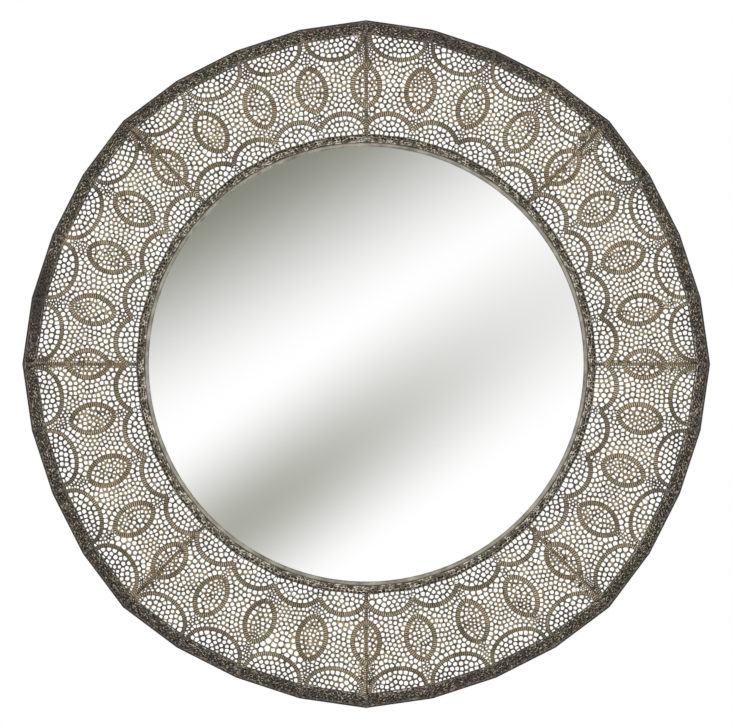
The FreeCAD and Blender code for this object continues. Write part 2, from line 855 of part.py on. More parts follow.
def make_pieces(doc, at):
    pieces = make_lace_panels(doc, at)
    pieces.append(make_back_ring(doc, at))
    pieces.append(make_mirror_band(doc, at))
    pieces.append(make_mirror_glass(doc, at))
    pieces.append(make_disc(doc, "liner_sheet", at, at.liner_thickness, at.board_front))
    pieces.append(make_backing_board(doc, at))
    for number in range(PANEL_COUNT):
        pieces.append(make_rib(doc, f"rib_{number + 1}", at, number * PANEL_TURN))
        pieces.append(make_tab(doc, f"retaining_tab_{number + 1}", at, (number + 0.5) * PANEL_TURN))
    for name, side in (("left", -1), ("right", 1)):
        pieces.append(make_hanger(doc, f"hanger_{name}", at, side))
        pieces.append(make_d_ring(doc, f"d_ring_{name}", at, side))
    tab_seat = at.board_back - at.tab_thickness
    pieces.append(make_screws(doc, "tab_screws", at, at.tab_places, tab_seat, at.tab_head_radius,
                              at.tab_screw_radius, at.tab_screw_length))
    strap_seat = at.board_back - at.strap_thickness
    pieces.append(make_screws(doc, "hanger_screws", at, at.hanger_places, strap_seat, at.hanger_head_radius,
                              at.hanger_screw_radius, at.hanger_screw_length))
    return pieces


def check(doc, pieces):
    for item in doc.Objects:
        if "Invalid" in item.State or "Error" in item.State:
            raise RuntimeError(f"{item.Name} failed: {item.State}")
    for piece in pieces:
        if piece.Shape.isNull() or not piece.Shape.isValid():
            raise RuntimeError(f"{piece.Label} has no valid shape")


def main():
    doc = FreeCAD.newDocument("RoundMirror")
    at = Layout(make_sheet(doc))
    pieces = make_pieces(doc, at)
    doc.recompute()
    check(doc, pieces)
    os.makedirs("parts", exist_ok=True)
    for piece in pieces:
        piece.Shape.exportStep(f"parts/{piece.Label}.step")


main()
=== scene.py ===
import math

import bmesh
import bpy
import numpy as np
from mathutils import Matrix, Vector


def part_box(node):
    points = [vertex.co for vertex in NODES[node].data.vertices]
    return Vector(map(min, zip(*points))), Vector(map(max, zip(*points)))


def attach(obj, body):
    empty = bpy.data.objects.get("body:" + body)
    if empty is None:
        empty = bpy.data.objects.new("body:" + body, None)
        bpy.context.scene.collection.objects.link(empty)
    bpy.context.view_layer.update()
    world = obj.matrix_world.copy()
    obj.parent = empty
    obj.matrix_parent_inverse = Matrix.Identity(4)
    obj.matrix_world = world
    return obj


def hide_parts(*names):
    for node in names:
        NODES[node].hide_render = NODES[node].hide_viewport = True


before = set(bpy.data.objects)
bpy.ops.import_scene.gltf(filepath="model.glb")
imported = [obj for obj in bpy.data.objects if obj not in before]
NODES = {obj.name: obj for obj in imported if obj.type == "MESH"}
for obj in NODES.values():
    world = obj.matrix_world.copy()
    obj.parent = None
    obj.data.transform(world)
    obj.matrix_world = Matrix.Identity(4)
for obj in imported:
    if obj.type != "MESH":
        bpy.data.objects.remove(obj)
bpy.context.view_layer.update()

MM = 0.001

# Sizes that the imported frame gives
RIM_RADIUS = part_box("back_ring")[1].x
CUP_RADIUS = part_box("mirror_band")[1].x
FACE_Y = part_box("lace_panel_1")[0].y
FOOT_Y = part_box("lace_panel_1")[1].y
LIP_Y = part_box("mirror_band")[0].y

# Outline of the lace: eight panels of four repeats, with a corner at every rib
PANELS = 8
PER_PANEL = 4
PANEL_ANGLE = 2 * math.pi / PANELS
STEP = PANEL_ANGLE / PER_PANEL
HALF = STEP / 2
SIDES = (-1, 1)
CORNER_DROPS = (0.0, 3.5 * MM, 5.2 * MM, 3.5 * MM, 0.0)
CORNER_SHARES = np.array([1 - drop / RIM_RADIUS for drop in CORNER_DROPS])
CREASE_RADIUS = RIM_RADIUS - 19 * MM
SKIRT_FOOT_RADIUS = RIM_RADIUS - 1 * MM
INNER_FOOT_RADIUS = CUP_RADIUS - 7.9 * MM
INNER_CREASE_RADIUS = INNER_FOOT_RADIUS + 8.0 * MM
CREASE_FLAT = CREASE_RADIUS * float(np.mean(CORNER_SHARES[:-1])) * math.cos(HALF)
INNER_FLAT = INNER_CREASE_RADIUS * math.cos(HALF)

# Motifs of one repeat, measured along the face
OUTER_SCALLOP = (32.9 * MM, 24.5 * MM)
INNER_SCALLOP = (28.8 * MM, 25.7 * MM)
MEDALLION_AT = 321.8 * MM
MEDALLION_FOOT = 296.4 * MM
MEDALLION_TIP = 347.2 * MM
MEDALLION_HALF_WIDTH = 16.2 * MM
SEAM_MEDALLION_TIP = 342.5 * MM
SEAM_MEDALLION_HALF_WIDTH = 15.6 * MM
MEDALLION_POWER = 0.65
SEAM_GAP = 0.15 * MM
LINE_POINTS = 121

# What differs from panel to panel: its seed, and the lowest and highest values drawn with it
FIRST_SEED = 11
DOUBLED_WIDTHS = (3.5 * MM, 9.0 * MM)
STRIP_WIDTHS = (1.6 * MM, 4.4 * MM)
SEAM_LIGHTS = (0.6, 1.7)

# Ladder bands: width, pitch of the rungs, width of the low flanges and dirt along the edges
OUTER_BAND = (3.8 * MM, 2.4 * MM, 0.55 * MM, 0.5)
WIDE_BAND = (4.4 * MM, 2.5 * MM, 0.65 * MM, 0.5)
VEIN = (1.0 * MM, 2.4 * MM, 0.0, 0.2)
SEAM = (2.4 * MM, 2.4 * MM, 0.2 * MM, 0.0)
EDGE_STRIP = (1.4 * MM, 3.0 * MM, 0.0, 0.0)
RUNG_ROWS = ((-0.12, 0.0), (0.12, 0.0))
GROOVE_ROWS = ((0.26, 1.0), (0.74, 1.0))
FLANGE_DEPTH = 0.6 * MM
LAPS = (0.0, 0.05 * MM, 0.1 * MM)
VEIN_LIGHT = 0.9
LADDER_RELIEF = 0.5 * MM
EDGE_RELIEF = 0.3 * MM
# Shares of the relief that the edges lie lower and that no groove goes beyond
EDGE_SINK = 0.4
GROOVE_LIMIT = 1.2

# Net of the lace: pitch from hole to hole and width of the threads
FIELD, OUTER, INNER, MEDALLION, DENSE, DOUBLED = range(6)
PITCHES = (6.15 * MM, 6.15 * MM, 6.15 * MM, 5.6 * MM, 3.8 * MM, 2.7 * MM)
WEBS = (2.1 * MM, 2.05 * MM, 2.05 * MM, 2.0 * MM, 1.75 * MM, 1.4 * MM)
SPREAD_ROUNDS = (40, 40, 40, 6, 5, 4)
CLOSED_SHARE = 0.2
WAIST_PITCH = 5.3 * MM
WAIST_REACH = 14 * MM
CORE_PITCH = 4.6 * MM
CORE_REACH = 3.5 * MM
CELL_REACH = 7.4 * MM
SQUARE = ((-1, -1), (1, -1), (1, 1), (-1, 1))
CREASE_WAVE = 1.5 * MM
CREASE_WAVE_TURN = 3.7 * MM
BAND_LAP = 0.4 * MM
SAMPLE = 0.7 * MM
WALL_SAMPLE = 0.8 * MM
SIDE_LENGTH = 1.7 * MM

# Dense strips at the ribs, which lap over the medallions' ends and widen outwards
DENSE_HALF_WIDTH = 3.4 * MM
DENSE_FOOT_HALF_WIDTH = 3.0 * MM
DENSE_LAP = 2 * MM
DENSE_SPREAD = 0.1

# How far holes are open: the least share, and what chance adds to it
NET_OPENING = (0.9, 0.2)
MEDALLION_OPENING = (0.72, 0.36)
DENSE_OPENING = (0.75, 0.3)
FACET_OPENING = (0.85, 0.25)

# Rows on the folded sides: height, pitch, thread width and the share of open holes
SKIRT_ROWS = [(3.6 * MM, 4.4 * MM, 1.5 * MM, 0.0)] + [(5.7 * MM, 5.0 * MM, 1.7 * MM, 0.9)] * 6
FOOT_STRIP = 5.6 * MM
WALL_ROWS = [
    (4.0 * MM, 4.6 * MM, 1.5 * MM, 0.9),
    (3.6 * MM, 4.2 * MM, 1.4 * MM, 0.5),
    (2.6 * MM, 3.2 * MM, 1.3 * MM, 0.0),
]
WALL_STRIP = 1.0 * MM
FOOT_PITCH = 8 * MM
FACET_JITTER = 0.2
ROW_SHIFTS = (0.25, 0.75)

# Depths of the thread's section under the outermost surface of the lace
RIDGE_DEPTH = 0.18 * MM
SHOULDER_DEPTH = 0.38 * MM
EDGE_DEPTH = 0.95 * MM
BACK_DEPTH = 1.2 * MM

# Shape of a hole: how round it is, its limits and the places of its shoulder and its wall on the map
HOLE_ROUNDING = 0.62
LEAST_REACH = 0.05 * MM
LEAST_HOLE = 0.2 * MM
LEAST_HOLE_SHARE = 0.15
LEAST_WEB_SHARE = 0.3
SHOULDER_SHARE = 0.5
WALL_SHARE = 0.85

# Dirt on the lace, from 0 to 1; on the holes' shoulders, edges and walls it is also painted shade, for the
# shade that falls into the holes
PIT = 0.9
DOUBLED_PIT = 0.45
SHOULDER_DIRT_AND_SHADE = 0.2
WALL_DIRT_AND_SHADE = 1.0
BACK_DIRT = 0.25
BACK_EDGE_DIRT = 0.6
PLAIN_STRIP_DIRT = 0.55
FLANGE_DIRT = 0.95
LADDER_BACK_DIRT = 0.3

# Flat map of a panel: its first corner, its size, and how far above its front its back lies
MAP_ORIGIN = (-0.17, 0.225)
MAP_SIZE = (0.34, 0.40)
MAP_BACK = 0.5

# Points nearer than the first are joined, and edges shorter than the second are taken away
WELD = 0.01 * MM
LEAST_EDGE = 0.005 * MM


def new_mesh(name, spots, faces, **values):
    """A smooth mesh whose points have values that a finish can read."""
    mesh = bpy.data.meshes.new(name)
    mesh.from_pydata(spots, [], faces)
    mesh.shade_smooth()
    for key, numbers in values.items():
        layer = mesh.attributes.new(key, "FLOAT", "POINT")
        layer.data.foreach_set("value", np.asarray(numbers, np.float32))
    return mesh


def add_object(name, data, material=None):
    """Puts a new object into the scene, with a material if it is a mesh."""
    if material:
        data.materials.append(material)
    added = bpy.data.objects.new(name, data)
    bpy.context.scene.collection.objects.link(added)
    return added


def numbered(name):
    """Names of the eight pieces of one kind."""
    return [f"{name}_{number}" for number in range(1, PANELS + 1)]


def ring_quads(first, second, size):
    """Quads between two rings of the same number of points."""
    quads = []
    for index in range(size):
        following = (index + 1) % size
        quads.append((first + index, first + following, second + following, second + index))
    return quads


# Flat pattern of one panel, even all round: x across, y outwards along the panel's middle line


def turn_flat(flat, angle):
    """Flat places turned clockwise, as seen from the front."""
    x = flat[:, 0] * np.cos(angle) + flat[:, 1] * np.sin(angle)
    y = flat[:, 1] * np.cos(angle) - flat[:, 0] * np.sin(angle)
    return np.column_stack((x, y))


def repeat_angle(repeat):
    return (repeat + 0.5 - PER_PANEL / 2) * STEP


def rib_angle(rib):
    return (rib - PER_PANEL / 2) * STEP


def steps_round(points):
    """Angle of each point from the panel's first seam, counted in repeats."""
    return np.arctan2(points[:, 0], points[:, 1]) / STEP + PER_PANEL / 2


def in_repeat(points):
    """The repeat that holds each point, and the point in that repeat's own axes."""
    repeat = np.clip(np.floor(steps_round(points)), 0, PER_PANEL - 1).astype(int)
    return repeat, turn_flat(points, -repeat_angle(repeat))


def in_rib(points):
    """The rib nearest to each point, and the distances along it and away from it."""
    rib = np.clip(np.round(steps_round(points)), 0, PER_PANEL).astype(int)
    turned = turn_flat(points, -rib_angle(rib))
    return rib, turned[:, 1], np.abs(turned[:, 0])


def at_seam(rib):
    return (rib == 0) | (rib == PER_PANEL)


def inside_oval(points, base, axes):
    return np.hypot(points[:, 0] / axes[0], (points[:, 1] - base) / axes[1]) < 1


def medallion_tip(rib):
    return np.where(at_seam(rib), SEAM_MEDALLION_TIP, MEDALLION_TIP)


def medallion_width(along, rib):
    tip = medallion_tip(rib)
    share = (2 * along - tip - MEDALLION_FOOT) / (tip - MEDALLION_FOOT)
    widest = np.where(at_seam(rib), SEAM_MEDALLION_HALF_WIDTH, MEDALLION_HALF_WIDTH)
    return widest * np.clip(1 - share * share, 0, None) ** MEDALLION_POWER


def squared_gaps(points, others):
    """Squared distance of every point from every other one."""
    aside = points[:, 0, None] - others[:, 0]
    ahead = points[:, 1, None] - others[:, 1]
    return aside * aside + ahead * ahead


def resample(line, step):
    """The same line with even steps of about the given length."""
    lengths = np.hypot(*np.diff(line, axis=0).T)
    run = np.concatenate(([0], np.cumsum(lengths)))
    marks = np.linspace(0, run[-1], max(2, int(round(run[-1] / step)) + 1))
    return np.column_stack([np.interp(marks, run, line[:, axis]) for axis in (0, 1)])


def scallop_lines():
    """Centre lines of the outer and inner scallop bands of one repeat."""
    turn = np.linspace(0, math.pi, LINE_POINTS)
    arc = np.column_stack((np.cos(turn), np.sin(turn)))
    outer = (0, CREASE_FLAT) + arc * OUTER_SCALLOP * (1, -1)
    inner = (0, INNER_FLAT) + arc * INNER_SCALLOP
    within = np.abs(inner[:, 0]) < inner[:, 1] * math.tan(HALF)
    return outer, inner[within]


def medallion_line(rib, side):
    """Centre line of the band on one side of a medallion."""
    share = 0.5 + 0.5 * np.sin(np.linspace(-math.pi / 2, math.pi / 2, LINE_POINTS))
    along = MEDALLION_FOOT + (medallion_tip(rib) - MEDALLION_FOOT) * share
    flat = np.column_stack((side * medallion_width(along, rib), along))
    return turn_flat(flat, rib_angle(rib))


def seam_line(rib, width, low, high):
    """A line just inside one seam, between two distances from the centre."""
    side = 1 if rib == 0 else -1
    aside = side * (SEAM_GAP + width / 2)
    return turn_flat(np.array(((aside, low), (aside, high))), rib_angle(rib))


def panel_lines(seam_light):
    """Every ladder of a panel: its line, its size, how deep its top lies and how light its rungs are."""
    ladders = []
    for repeat in range(PER_PANEL):
        lap = LAPS[repeat % 2]
        for line, size in zip(scallop_lines(), (OUTER_BAND, WIDE_BAND)):
            ladders.append((turn_flat(line, repeat_angle(repeat)), size, lap, 1.0))
    for rib in range(PER_PANEL + 1):
        for side in SIDES:
            if 0 <= rib + side <= PER_PANEL:
                ladders.append((medallion_line(rib, side), WIDE_BAND, LAPS[1 + (side > 0)], 1.0))
    for rib in (0, PER_PANEL):
        line = seam_line(rib, VEIN[0], INNER_CREASE_RADIUS, SEAM_MEDALLION_TIP)
        ladders.append((line, VEIN, LAPS[2], VEIN_LIGHT))
    seam_top = CREASE_FLAT / math.cos(HALF)
    ladders.append((seam_line(0, SEAM[0], SEAM_MEDALLION_TIP, seam_top), SEAM, LAPS[0], seam_light))
    return ladders


def region_of(points, ladders, doubled, strips):
    """Which part of the net each point lies in, or -1 for a ladder or nothing."""
    place = in_repeat(points)[1]
    rib, along, away = in_rib(points)
    seam = at_seam(rib)
    region = np.full(len(points), FIELD)
    region[inside_oval(place, CREASE_FLAT, OUTER_SCALLOP)] = OUTER
    region[inside_oval(place, INNER_FLAT, INNER_SCALLOP)] = INNER
    region[away < medallion_width(along, rib)] = MEDALLION
    tip = medallion_tip(rib)
    wide = np.where(seam, np.where(rib == 0, *doubled), DENSE_HALF_WIDTH)
    above = (along > tip - DENSE_LAP) & (away < wide + DENSE_SPREAD * (along - tip))
    below = (along < MEDALLION_FOOT + DENSE_LAP) & (away < DENSE_FOOT_HALF_WIDTH)
    region[(region != MEDALLION) & (above | below)] = DENSE
    region[(region == DENSE) & above & seam] = DOUBLED
    region[seam & (away < np.where(rib == 0, *strips))] = DOUBLED
    for line, size, _, _ in ladders:
        reach = size[0] / 2
        near = ((points > line.min(axis=0) - reach) & (points < line.max(axis=0) + reach)).all(axis=1)
        covered = squared_gaps(points[near], line).min(axis=1) < reach ** 2
        region[np.flatnonzero(near)[covered]] = -1
    cut = CREASE_FLAT + CREASE_WAVE * (1 + np.sin(points[:, 0] / CREASE_WAVE_TURN))
    region[(place[:, 1] > cut) | (place[:, 1] < INNER_FLAT)] = -1
    return region


def pitch_at(points, kind):
    """Distance from hole to hole: less between the waists of the medallions and along their middles."""
    pitch = np.full(len(points), PITCHES[kind])
    if kind == FIELD:
        waist = np.exp(-((np.hypot(*points.T) - MEDALLION_AT) / WAIST_REACH) ** 2)
        pitch += (WAIST_PITCH - PITCHES[FIELD]) * waist
    if kind == MEDALLION:
        pitch += (CORE_PITCH - PITCHES[MEDALLION]) * np.exp(-(in_rib(points)[2] / CORE_REACH) ** 2)
    return pitch


def spread_seeds(samples, pitch, rounds, rng):
    """Hole centres spread evenly over the sampled points by moving each to the middle of its cell."""
    weight = 1 / pitch ** 2
    cells = (SAMPLE ** 2 * weight / math.sin(math.pi / 3)).sum()
    count = max(1, int(round(cells)))
    seeds = samples[rng.choice(len(samples), count, replace=False, p=weight / weight.sum())]
    for _ in range(rounds):
        owner = squared_gaps(samples, seeds).argmin(axis=1)
        total = np.bincount(owner, weight, count)
        held = total > 0
        for axis in (0, 1):
            moved = np.bincount(owner, weight * samples[:, axis], count)
            seeds[held, axis] = moved[held] / total[held]
    return seeds


def clip(polygon, normal, limit):
    """The part of a convex polygon where normal . point is at most the limit."""
    kept = []
    for start, end in zip(polygon, polygon[1:] + polygon[:1]):
        before = normal[0] * start[0] + normal[1] * start[1] - limit
        after = normal[0] * end[0] + normal[1] * end[1] - limit
        if before <= 0:
            kept.append(start)
        if before * after < 0:
            share = before / (before - after)
            kept.append((start[0] + share * (end[0] - start[0]), start[1] + share * (end[1] - start[1])))
    return kept


def cell_outlines(seeds, walls, wall_reach, limits):
    """Voronoi cell of every seed, kept clear of the wall points and inside its own limits."""
    outlines = []
    for seed, own_limits in zip(seeds, limits):
        polygon = [(seed[0] + x * CELL_REACH, seed[1] + y * CELL_REACH) for x, y in SQUARE]
        squares = ((seeds - seed) ** 2).sum(axis=1)
        for other in np.argsort(squares)[1:]:
            if squares[other] > (2 * CELL_REACH) ** 2:
                break
            limit = (seeds[other] @ seeds[other] - seed @ seed) / 2
            polygon = clip(polygon, seeds[other] - seed, limit)
        apart = np.hypot(*(walls - seed).T)
        for near in np.flatnonzero(apart < CELL_REACH + wall_reach):
            normal = (walls[near] - seed) / apart[near]
            polygon = clip(polygon, normal, normal @ walls[near] - wall_reach[near])
        for normal, limit in own_limits:
            polygon = clip(polygon, normal, limit)
        outlines.append(polygon)
    return outlines


def net_parts(grid, region):
    """Samples of the net, split into the areas that are filled with holes one by one."""
    repeat = in_repeat(grid)[0]
    rib, along, _ = in_rib(grid)
    outwards = along > MEDALLION_AT
    for number in range(PER_PANEL):
        for kind in (FIELD, OUTER, INNER):
            yield kind, grid[(region == kind) & (repeat == number)]
    for number in range(PER_PANEL + 1):
        yield MEDALLION, grid[(region == MEDALLION) & (rib == number)]
        for outer_end in (False, True):
            yield DENSE, grid[(region == DENSE) & (rib == number) & (outwards == outer_end)]
        yield DOUBLED, grid[(region == DOUBLED) & (rib == number)]


def face_limits(seeds):
    """Half planes that keep each cell on its panel's face."""
    angles = [repeat_angle(repeat) for repeat in range(PER_PANEL)]
    outer = [((math.sin(angle), math.cos(angle)), CREASE_FLAT) for angle in angles]
    seam = PANEL_ANGLE / 2
    outer += [((side * math.cos(seam), -math.sin(seam)), -SEAM_GAP) for side in SIDES]
    limits = []
    for angle in repeat_angle(in_repeat(seeds)[0]):
        limits.append(outer + [((-math.sin(angle), -math.cos(angle)), -INNER_FLAT)])
    return limits


def net_cells(ladders, doubled, strips, rng):
    """Seeds, kinds and outlines of the net's cells on one panel's face."""
    half_width = CREASE_RADIUS * math.sin(PANEL_ANGLE / 2)
    across = np.arange(-half_width, half_width, SAMPLE)
    outwards = np.arange(INNER_FLAT * math.cos(PANEL_ANGLE / 2), CREASE_RADIUS, SAMPLE)
    grid = np.array(np.meshgrid(across, outwards)).reshape(2, -1).T
    grid = grid[np.abs(np.arctan2(grid[:, 0], grid[:, 1])) < PANEL_ANGLE / 2]
    region = region_of(grid, ladders, doubled, strips)
    seeds = []
    kinds = []
    for kind, samples in net_parts(grid, region):
        if len(samples):
            placed = spread_seeds(samples, pitch_at(samples, kind), SPREAD_ROUNDS[kind], rng)
            seeds.append(placed)
            kinds += [kind] * len(placed)
    seeds = np.vstack(seeds)
    walls = np.vstack([ladder[0] for ladder in ladders])
    reach = np.concatenate([np.full(len(line), size[0] / 2 - BAND_LAP) for line, size, _, _ in ladders])
    return seeds, np.array(kinds), cell_outlines(seeds, walls, reach, face_limits(seeds))


# Faces gathered on one flat piece of the lace


class Sheet:
    """Rings and quads on a flat piece, kept as flat places with a depth under its outer surface."""

    def __init__(self):
        self.values = {name: [] for name in ("flat", "map", "depth", "groove", "band", "behind")}
        self.faces = []
        self.count = 0

    def add_points(self, flat, depth, groove, band=0.0, behind=0.0, at=None):
        """Adds points and gives the number of the first one."""
        first = self.count
        self.count += len(flat)
        self.values["flat"].append(flat)
        self.values["map"].append(flat if at is None else at)
        for name, value in (("depth", depth), ("groove", groove), ("band", band), ("behind", behind)):
            self.values[name].append(np.broadcast_to(value, len(flat)))
        return first

    def add_cell(self, polygon, web, opening, pit=PIT):
        """One mesh of the net: a rounded hole with threads around it, or a pit where it is closed."""
        corners = np.array(polygon)
        outline = []
        for start, end in zip(corners, np.roll(corners, -1, axis=0)):
            parts = max(1, int(round(np.hypot(*(end - start)) / SIDE_LENGTH)))
            outline += [start + (end - start) * part / parts for part in range(parts)]
        outline = np.array(outline)
        centre = outline.mean(axis=0)
        arm = outline - centre
        reach = np.maximum(np.hypot(*arm.T), LEAST_REACH)
        mean = max(reach.mean() - web / 2, LEAST_HOLE)
        size = (reach - web / 2) * (1 - HOLE_ROUNDING) + mean * HOLE_ROUNDING
        size = np.clip(size, LEAST_HOLE_SHARE * reach, reach - LEAST_WEB_SHARE * web) * (opening or 1.0)
        edge = centre + arm * (size / reach)[:, None]
        shoulder = outline + (edge - outline) * SHOULDER_SHARE
        total = len(outline)
        # The hole's shoulder, edge and wall carry dirt together with painted shade, darker the deeper they
        # lie
        ridge = self.add_points(outline, RIDGE_DEPTH, 0.0)
        round_off = self.add_points(shoulder, SHOULDER_DEPTH, SHOULDER_DIRT_AND_SHADE)
        front = self.add_points(edge, EDGE_DEPTH, pit)
        back_outline = self.add_points(outline, BACK_DEPTH, BACK_DIRT, behind=1.0)
        self.faces += ring_quads(ridge, round_off, total)
        self.faces += ring_quads(round_off, front, total)
        if opening > 0:
            wall = self.add_points(edge, BACK_DEPTH, WALL_DIRT_AND_SHADE, at=centre + (edge - centre) * WALL_SHARE)
            back = self.add_points(edge, BACK_DEPTH, BACK_EDGE_DIRT, behind=1.0)
            self.faces += ring_quads(front, wall, total)
            self.faces += ring_quads(back, back_outline, total)
        else:
            self.faces.append(tuple(range(front, front + total)))
            self.faces.append(tuple(reversed(range(back_outline, back_outline + total))))

    def add_ladder(self, line, size, relief, top, band):
        """A strip along a line, with rungs across it and dark grooves between them."""
        width, pitch, flange, edge_dirt = size
        marks = resample(line, pitch)
        tangent = np.gradient(marks, axis=0)
        tangent /= np.hypot(*tangent.T)[:, None]
        across = np.column_stack((tangent[:, 1], -tangent[:, 0]))
        reaches = [width / 2, width / 4]
        depths = [top + EDGE_SINK * relief, top]
        if flange:
            reaches.insert(0, width / 2 + flange)
            depths.insert(0, FLANGE_DEPTH)
        columns = np.array([-reach for reach in reaches] + reaches[::-1])
        depths = np.array(depths + depths[::-1])
        bars = np.abs(columns) <= width / 2
        edges = np.where(np.abs(columns) < width / 2, 0.0, edge_dirt)
        total = len(columns) + 2
        last = len(marks) - 1
        rings = []
        for index, (mark, run, side) in enumerate(zip(marks, tangent, across)):
            for shift, sunk in RUNG_ROWS if index == last else RUNG_ROWS + GROOVE_ROWS:
                if index == 0:
                    shift = max(shift, 0.0)
                if index == last:
                    shift = min(shift, 0.0)
                places = mark + shift * pitch * run + columns[:, None] * side
                lowered = np.minimum(depths + relief * sunk, top + GROOVE_LIMIT * relief)
                soiled = np.maximum(sunk if relief else PLAIN_STRIP_DIRT, edges)
                depth = np.where(bars, lowered, depths)
                groove = np.where(bars, soiled, FLANGE_DIRT)
                rings.append(self.add_points(places, depth, groove, band))
                self.add_points(places[[-1, 0]], BACK_DEPTH, LADDER_BACK_DIRT, behind=1.0)
        for ring, following in zip(rings, rings[1:]):
            self.faces += ring_quads(ring, following, total)
        self.faces.append(tuple(reversed(range(rings[0], rings[0] + total))))
        self.faces.append(tuple(range(rings[-1], rings[-1] + total)))

    def arrays(self):
        return {name: np.concatenate(rows) for name, rows in self.values.items()}


# Folding the flat pieces into one panel, whose middle line points up


def inner_corner(rib, radius):
    """Flat place of a corner of the inner wall, which is even all round."""
    return radius * np.array((math.sin(rib_angle(rib)), math.cos(rib_angle(rib))))


def outer_corner(rib, radius):
    """Flat place of a corner of the skirt, which is drawn in between the seams."""
    return inner_corner(rib, radius * CORNER_SHARES[rib])


def fit_to_crease(flat):
    """The even pattern stretched outwards to the panel's real crease."""
    repeat, place = in_repeat(flat)
    angle = np.arctan2(place[:, 0], place[:, 1])
    turned = angle + repeat_angle(repeat)
    ray = np.column_stack((np.sin(turned), np.cos(turned)))
    radius = np.hypot(*flat.T)
    corners = np.array([outer_corner(rib, CREASE_RADIUS) for rib in range(PER_PANEL + 1)])
    start, end = corners[repeat], corners[repeat + 1]
    normal = np.column_stack((start[:, 1] - end[:, 1], end[:, 0] - start[:, 0]))
    crease = (normal * start).sum(axis=1) / (normal * ray).sum(axis=1)
    even = CREASE_FLAT / np.cos(angle)
    inner = INNER_FLAT / np.cos(angle)
    fitted = inner + (radius - inner) * (crease - inner) / (even - inner)
    return fitted[:, None] * ray


def face_points(data):
    """Places of a panel's face in the frame, and on the flat map."""
    flat = fit_to_crease(data["flat"])
    spots = np.column_stack((flat[:, 0], FACE_Y + data["depth"], flat[:, 1]))
    return spots, fit_to_crease(data["map"])


class Facet:
    """A flat side that folds back from one crease edge: a skirt side or an inner wall side."""

    def __init__(self, crease, foot, foot_y):
        tops = np.array([(x, FACE_Y + RIDGE_DEPTH, z) for x, z in crease])
        feet = np.array([(x, foot_y, z) for x, z in foot])
        edge = tops[1] - tops[0]
        self.half_top = np.linalg.norm(edge) / 2
        self.along = edge / np.linalg.norm(edge)
        self.middle = tops.mean(axis=0)
        slope = feet.mean(axis=0) - self.middle
        slope -= (slope @ self.along) * self.along
        self.height = np.linalg.norm(slope)
        self.down = slope / self.height
        normal = np.cross(self.along, self.down)
        self.outwards = normal if normal[1] < 0 else -normal
        self.feet = (feet - self.middle) @ self.along
        away = self.down[[0, 2]]
        self.flat_middle = self.middle[[0, 2]]
        self.flat_along = self.along[[0, 2]]
        self.flat_down = away / np.linalg.norm(away)

    def side_line(self, end, inset):
        """One slanted end of the facet, drawn in by the inset, from crease to foot."""
        shift = -SIDES[end] * inset
        return np.array(((SIDES[end] * self.half_top + shift, 0.0), (self.feet[end] + shift, self.height)))

    def limits(self, inset, strip):
        """Half planes that keep a cell inside the facet, clear of its ends and foot strip."""
        found = [((0.0, -1.0), 0.0), ((0.0, 1.0), self.height - strip)]
        for end, sign in enumerate(SIDES):
            top, foot = self.side_line(end, inset)
            normal = sign * np.array((foot[1] - top[1], top[0] - foot[0]))
            normal /= np.linalg.norm(normal)
            found.append((normal, normal @ top))
        return found

    def points(self, data):
        """Places of the facet in the frame, and on the flat map."""
        flat = data["flat"]
        depth = data["depth"] - RIDGE_DEPTH
        spots = self.middle + flat[:, :1] * self.along + flat[:, 1:] * self.down
        spots -= depth[:, None] * self.outwards
        place = data["map"]
        unfolded = self.flat_middle + place[:, :1] * self.flat_along + place[:, 1:] * self.flat_down
        return spots, unfolded


def opened(opening, chance):
    """Share of its size that a hole is open."""
    return opening[0] + opening[1] * chance


def facet_net(facet, rows, strip, inset, rng):
    """Rows of small holes on a facet, with a plain strip along its foot."""
    sheet = Sheet()
    scale = (facet.height - strip) / sum(row[0] for row in rows)
    seeds = []
    kinds = []
    level = 0.0
    for index, row in enumerate(rows):
        middle = level + row[0] * scale / 2
        level += row[0] * scale
        share = middle / facet.height
        left = -facet.half_top * (1 - share) + facet.feet[0] * share + inset
        right = facet.half_top * (1 - share) + facet.feet[1] * share - inset
        count = max(2, int(round((right - left) / row[1])))
        places = left + (right - left) * (np.arange(count) + ROW_SHIFTS[index % 2]) / count
        jitter = rng.normal(0, FACET_JITTER * min(row[:2]), (count, 2))
        seeds.append(np.column_stack((places, np.full(count, middle))) + jitter)
        kinds += [row] * count
    seeds = np.vstack(seeds)
    limits = [facet.limits(inset, strip)] * len(seeds)
    outlines = cell_outlines(seeds, np.empty((0, 2)), np.empty(0), limits)
    for outline, (_, _, web, open_share) in zip(outlines, kinds):
        if len(outline) > 2:
            is_open = rng.random() < open_share
            sheet.add_cell(outline, web, opened(FACET_OPENING, rng.random()) if is_open else 0.0)
    foot = np.column_stack((facet.feet, np.full(2, facet.height - strip / 2)))
    sheet.add_ladder(foot, (strip, FOOT_PITCH, 0.0, 0.0), 0.0, RIDGE_DEPTH, 0.0)
    return sheet


def openings_of(kinds, rng):
    """How far each hole of the net is open."""
    chance = rng.random(len(kinds))
    openings = opened(NET_OPENING, chance)
    for chosen, opening in ((kinds == MEDALLION, MEDALLION_OPENING), (kinds >= DENSE, DENSE_OPENING)):
        openings[chosen] = opened(opening, chance[chosen])
    openings[(kinds == DOUBLED) & (rng.random(len(kinds)) < CLOSED_SHARE)] = 0.0
    return openings


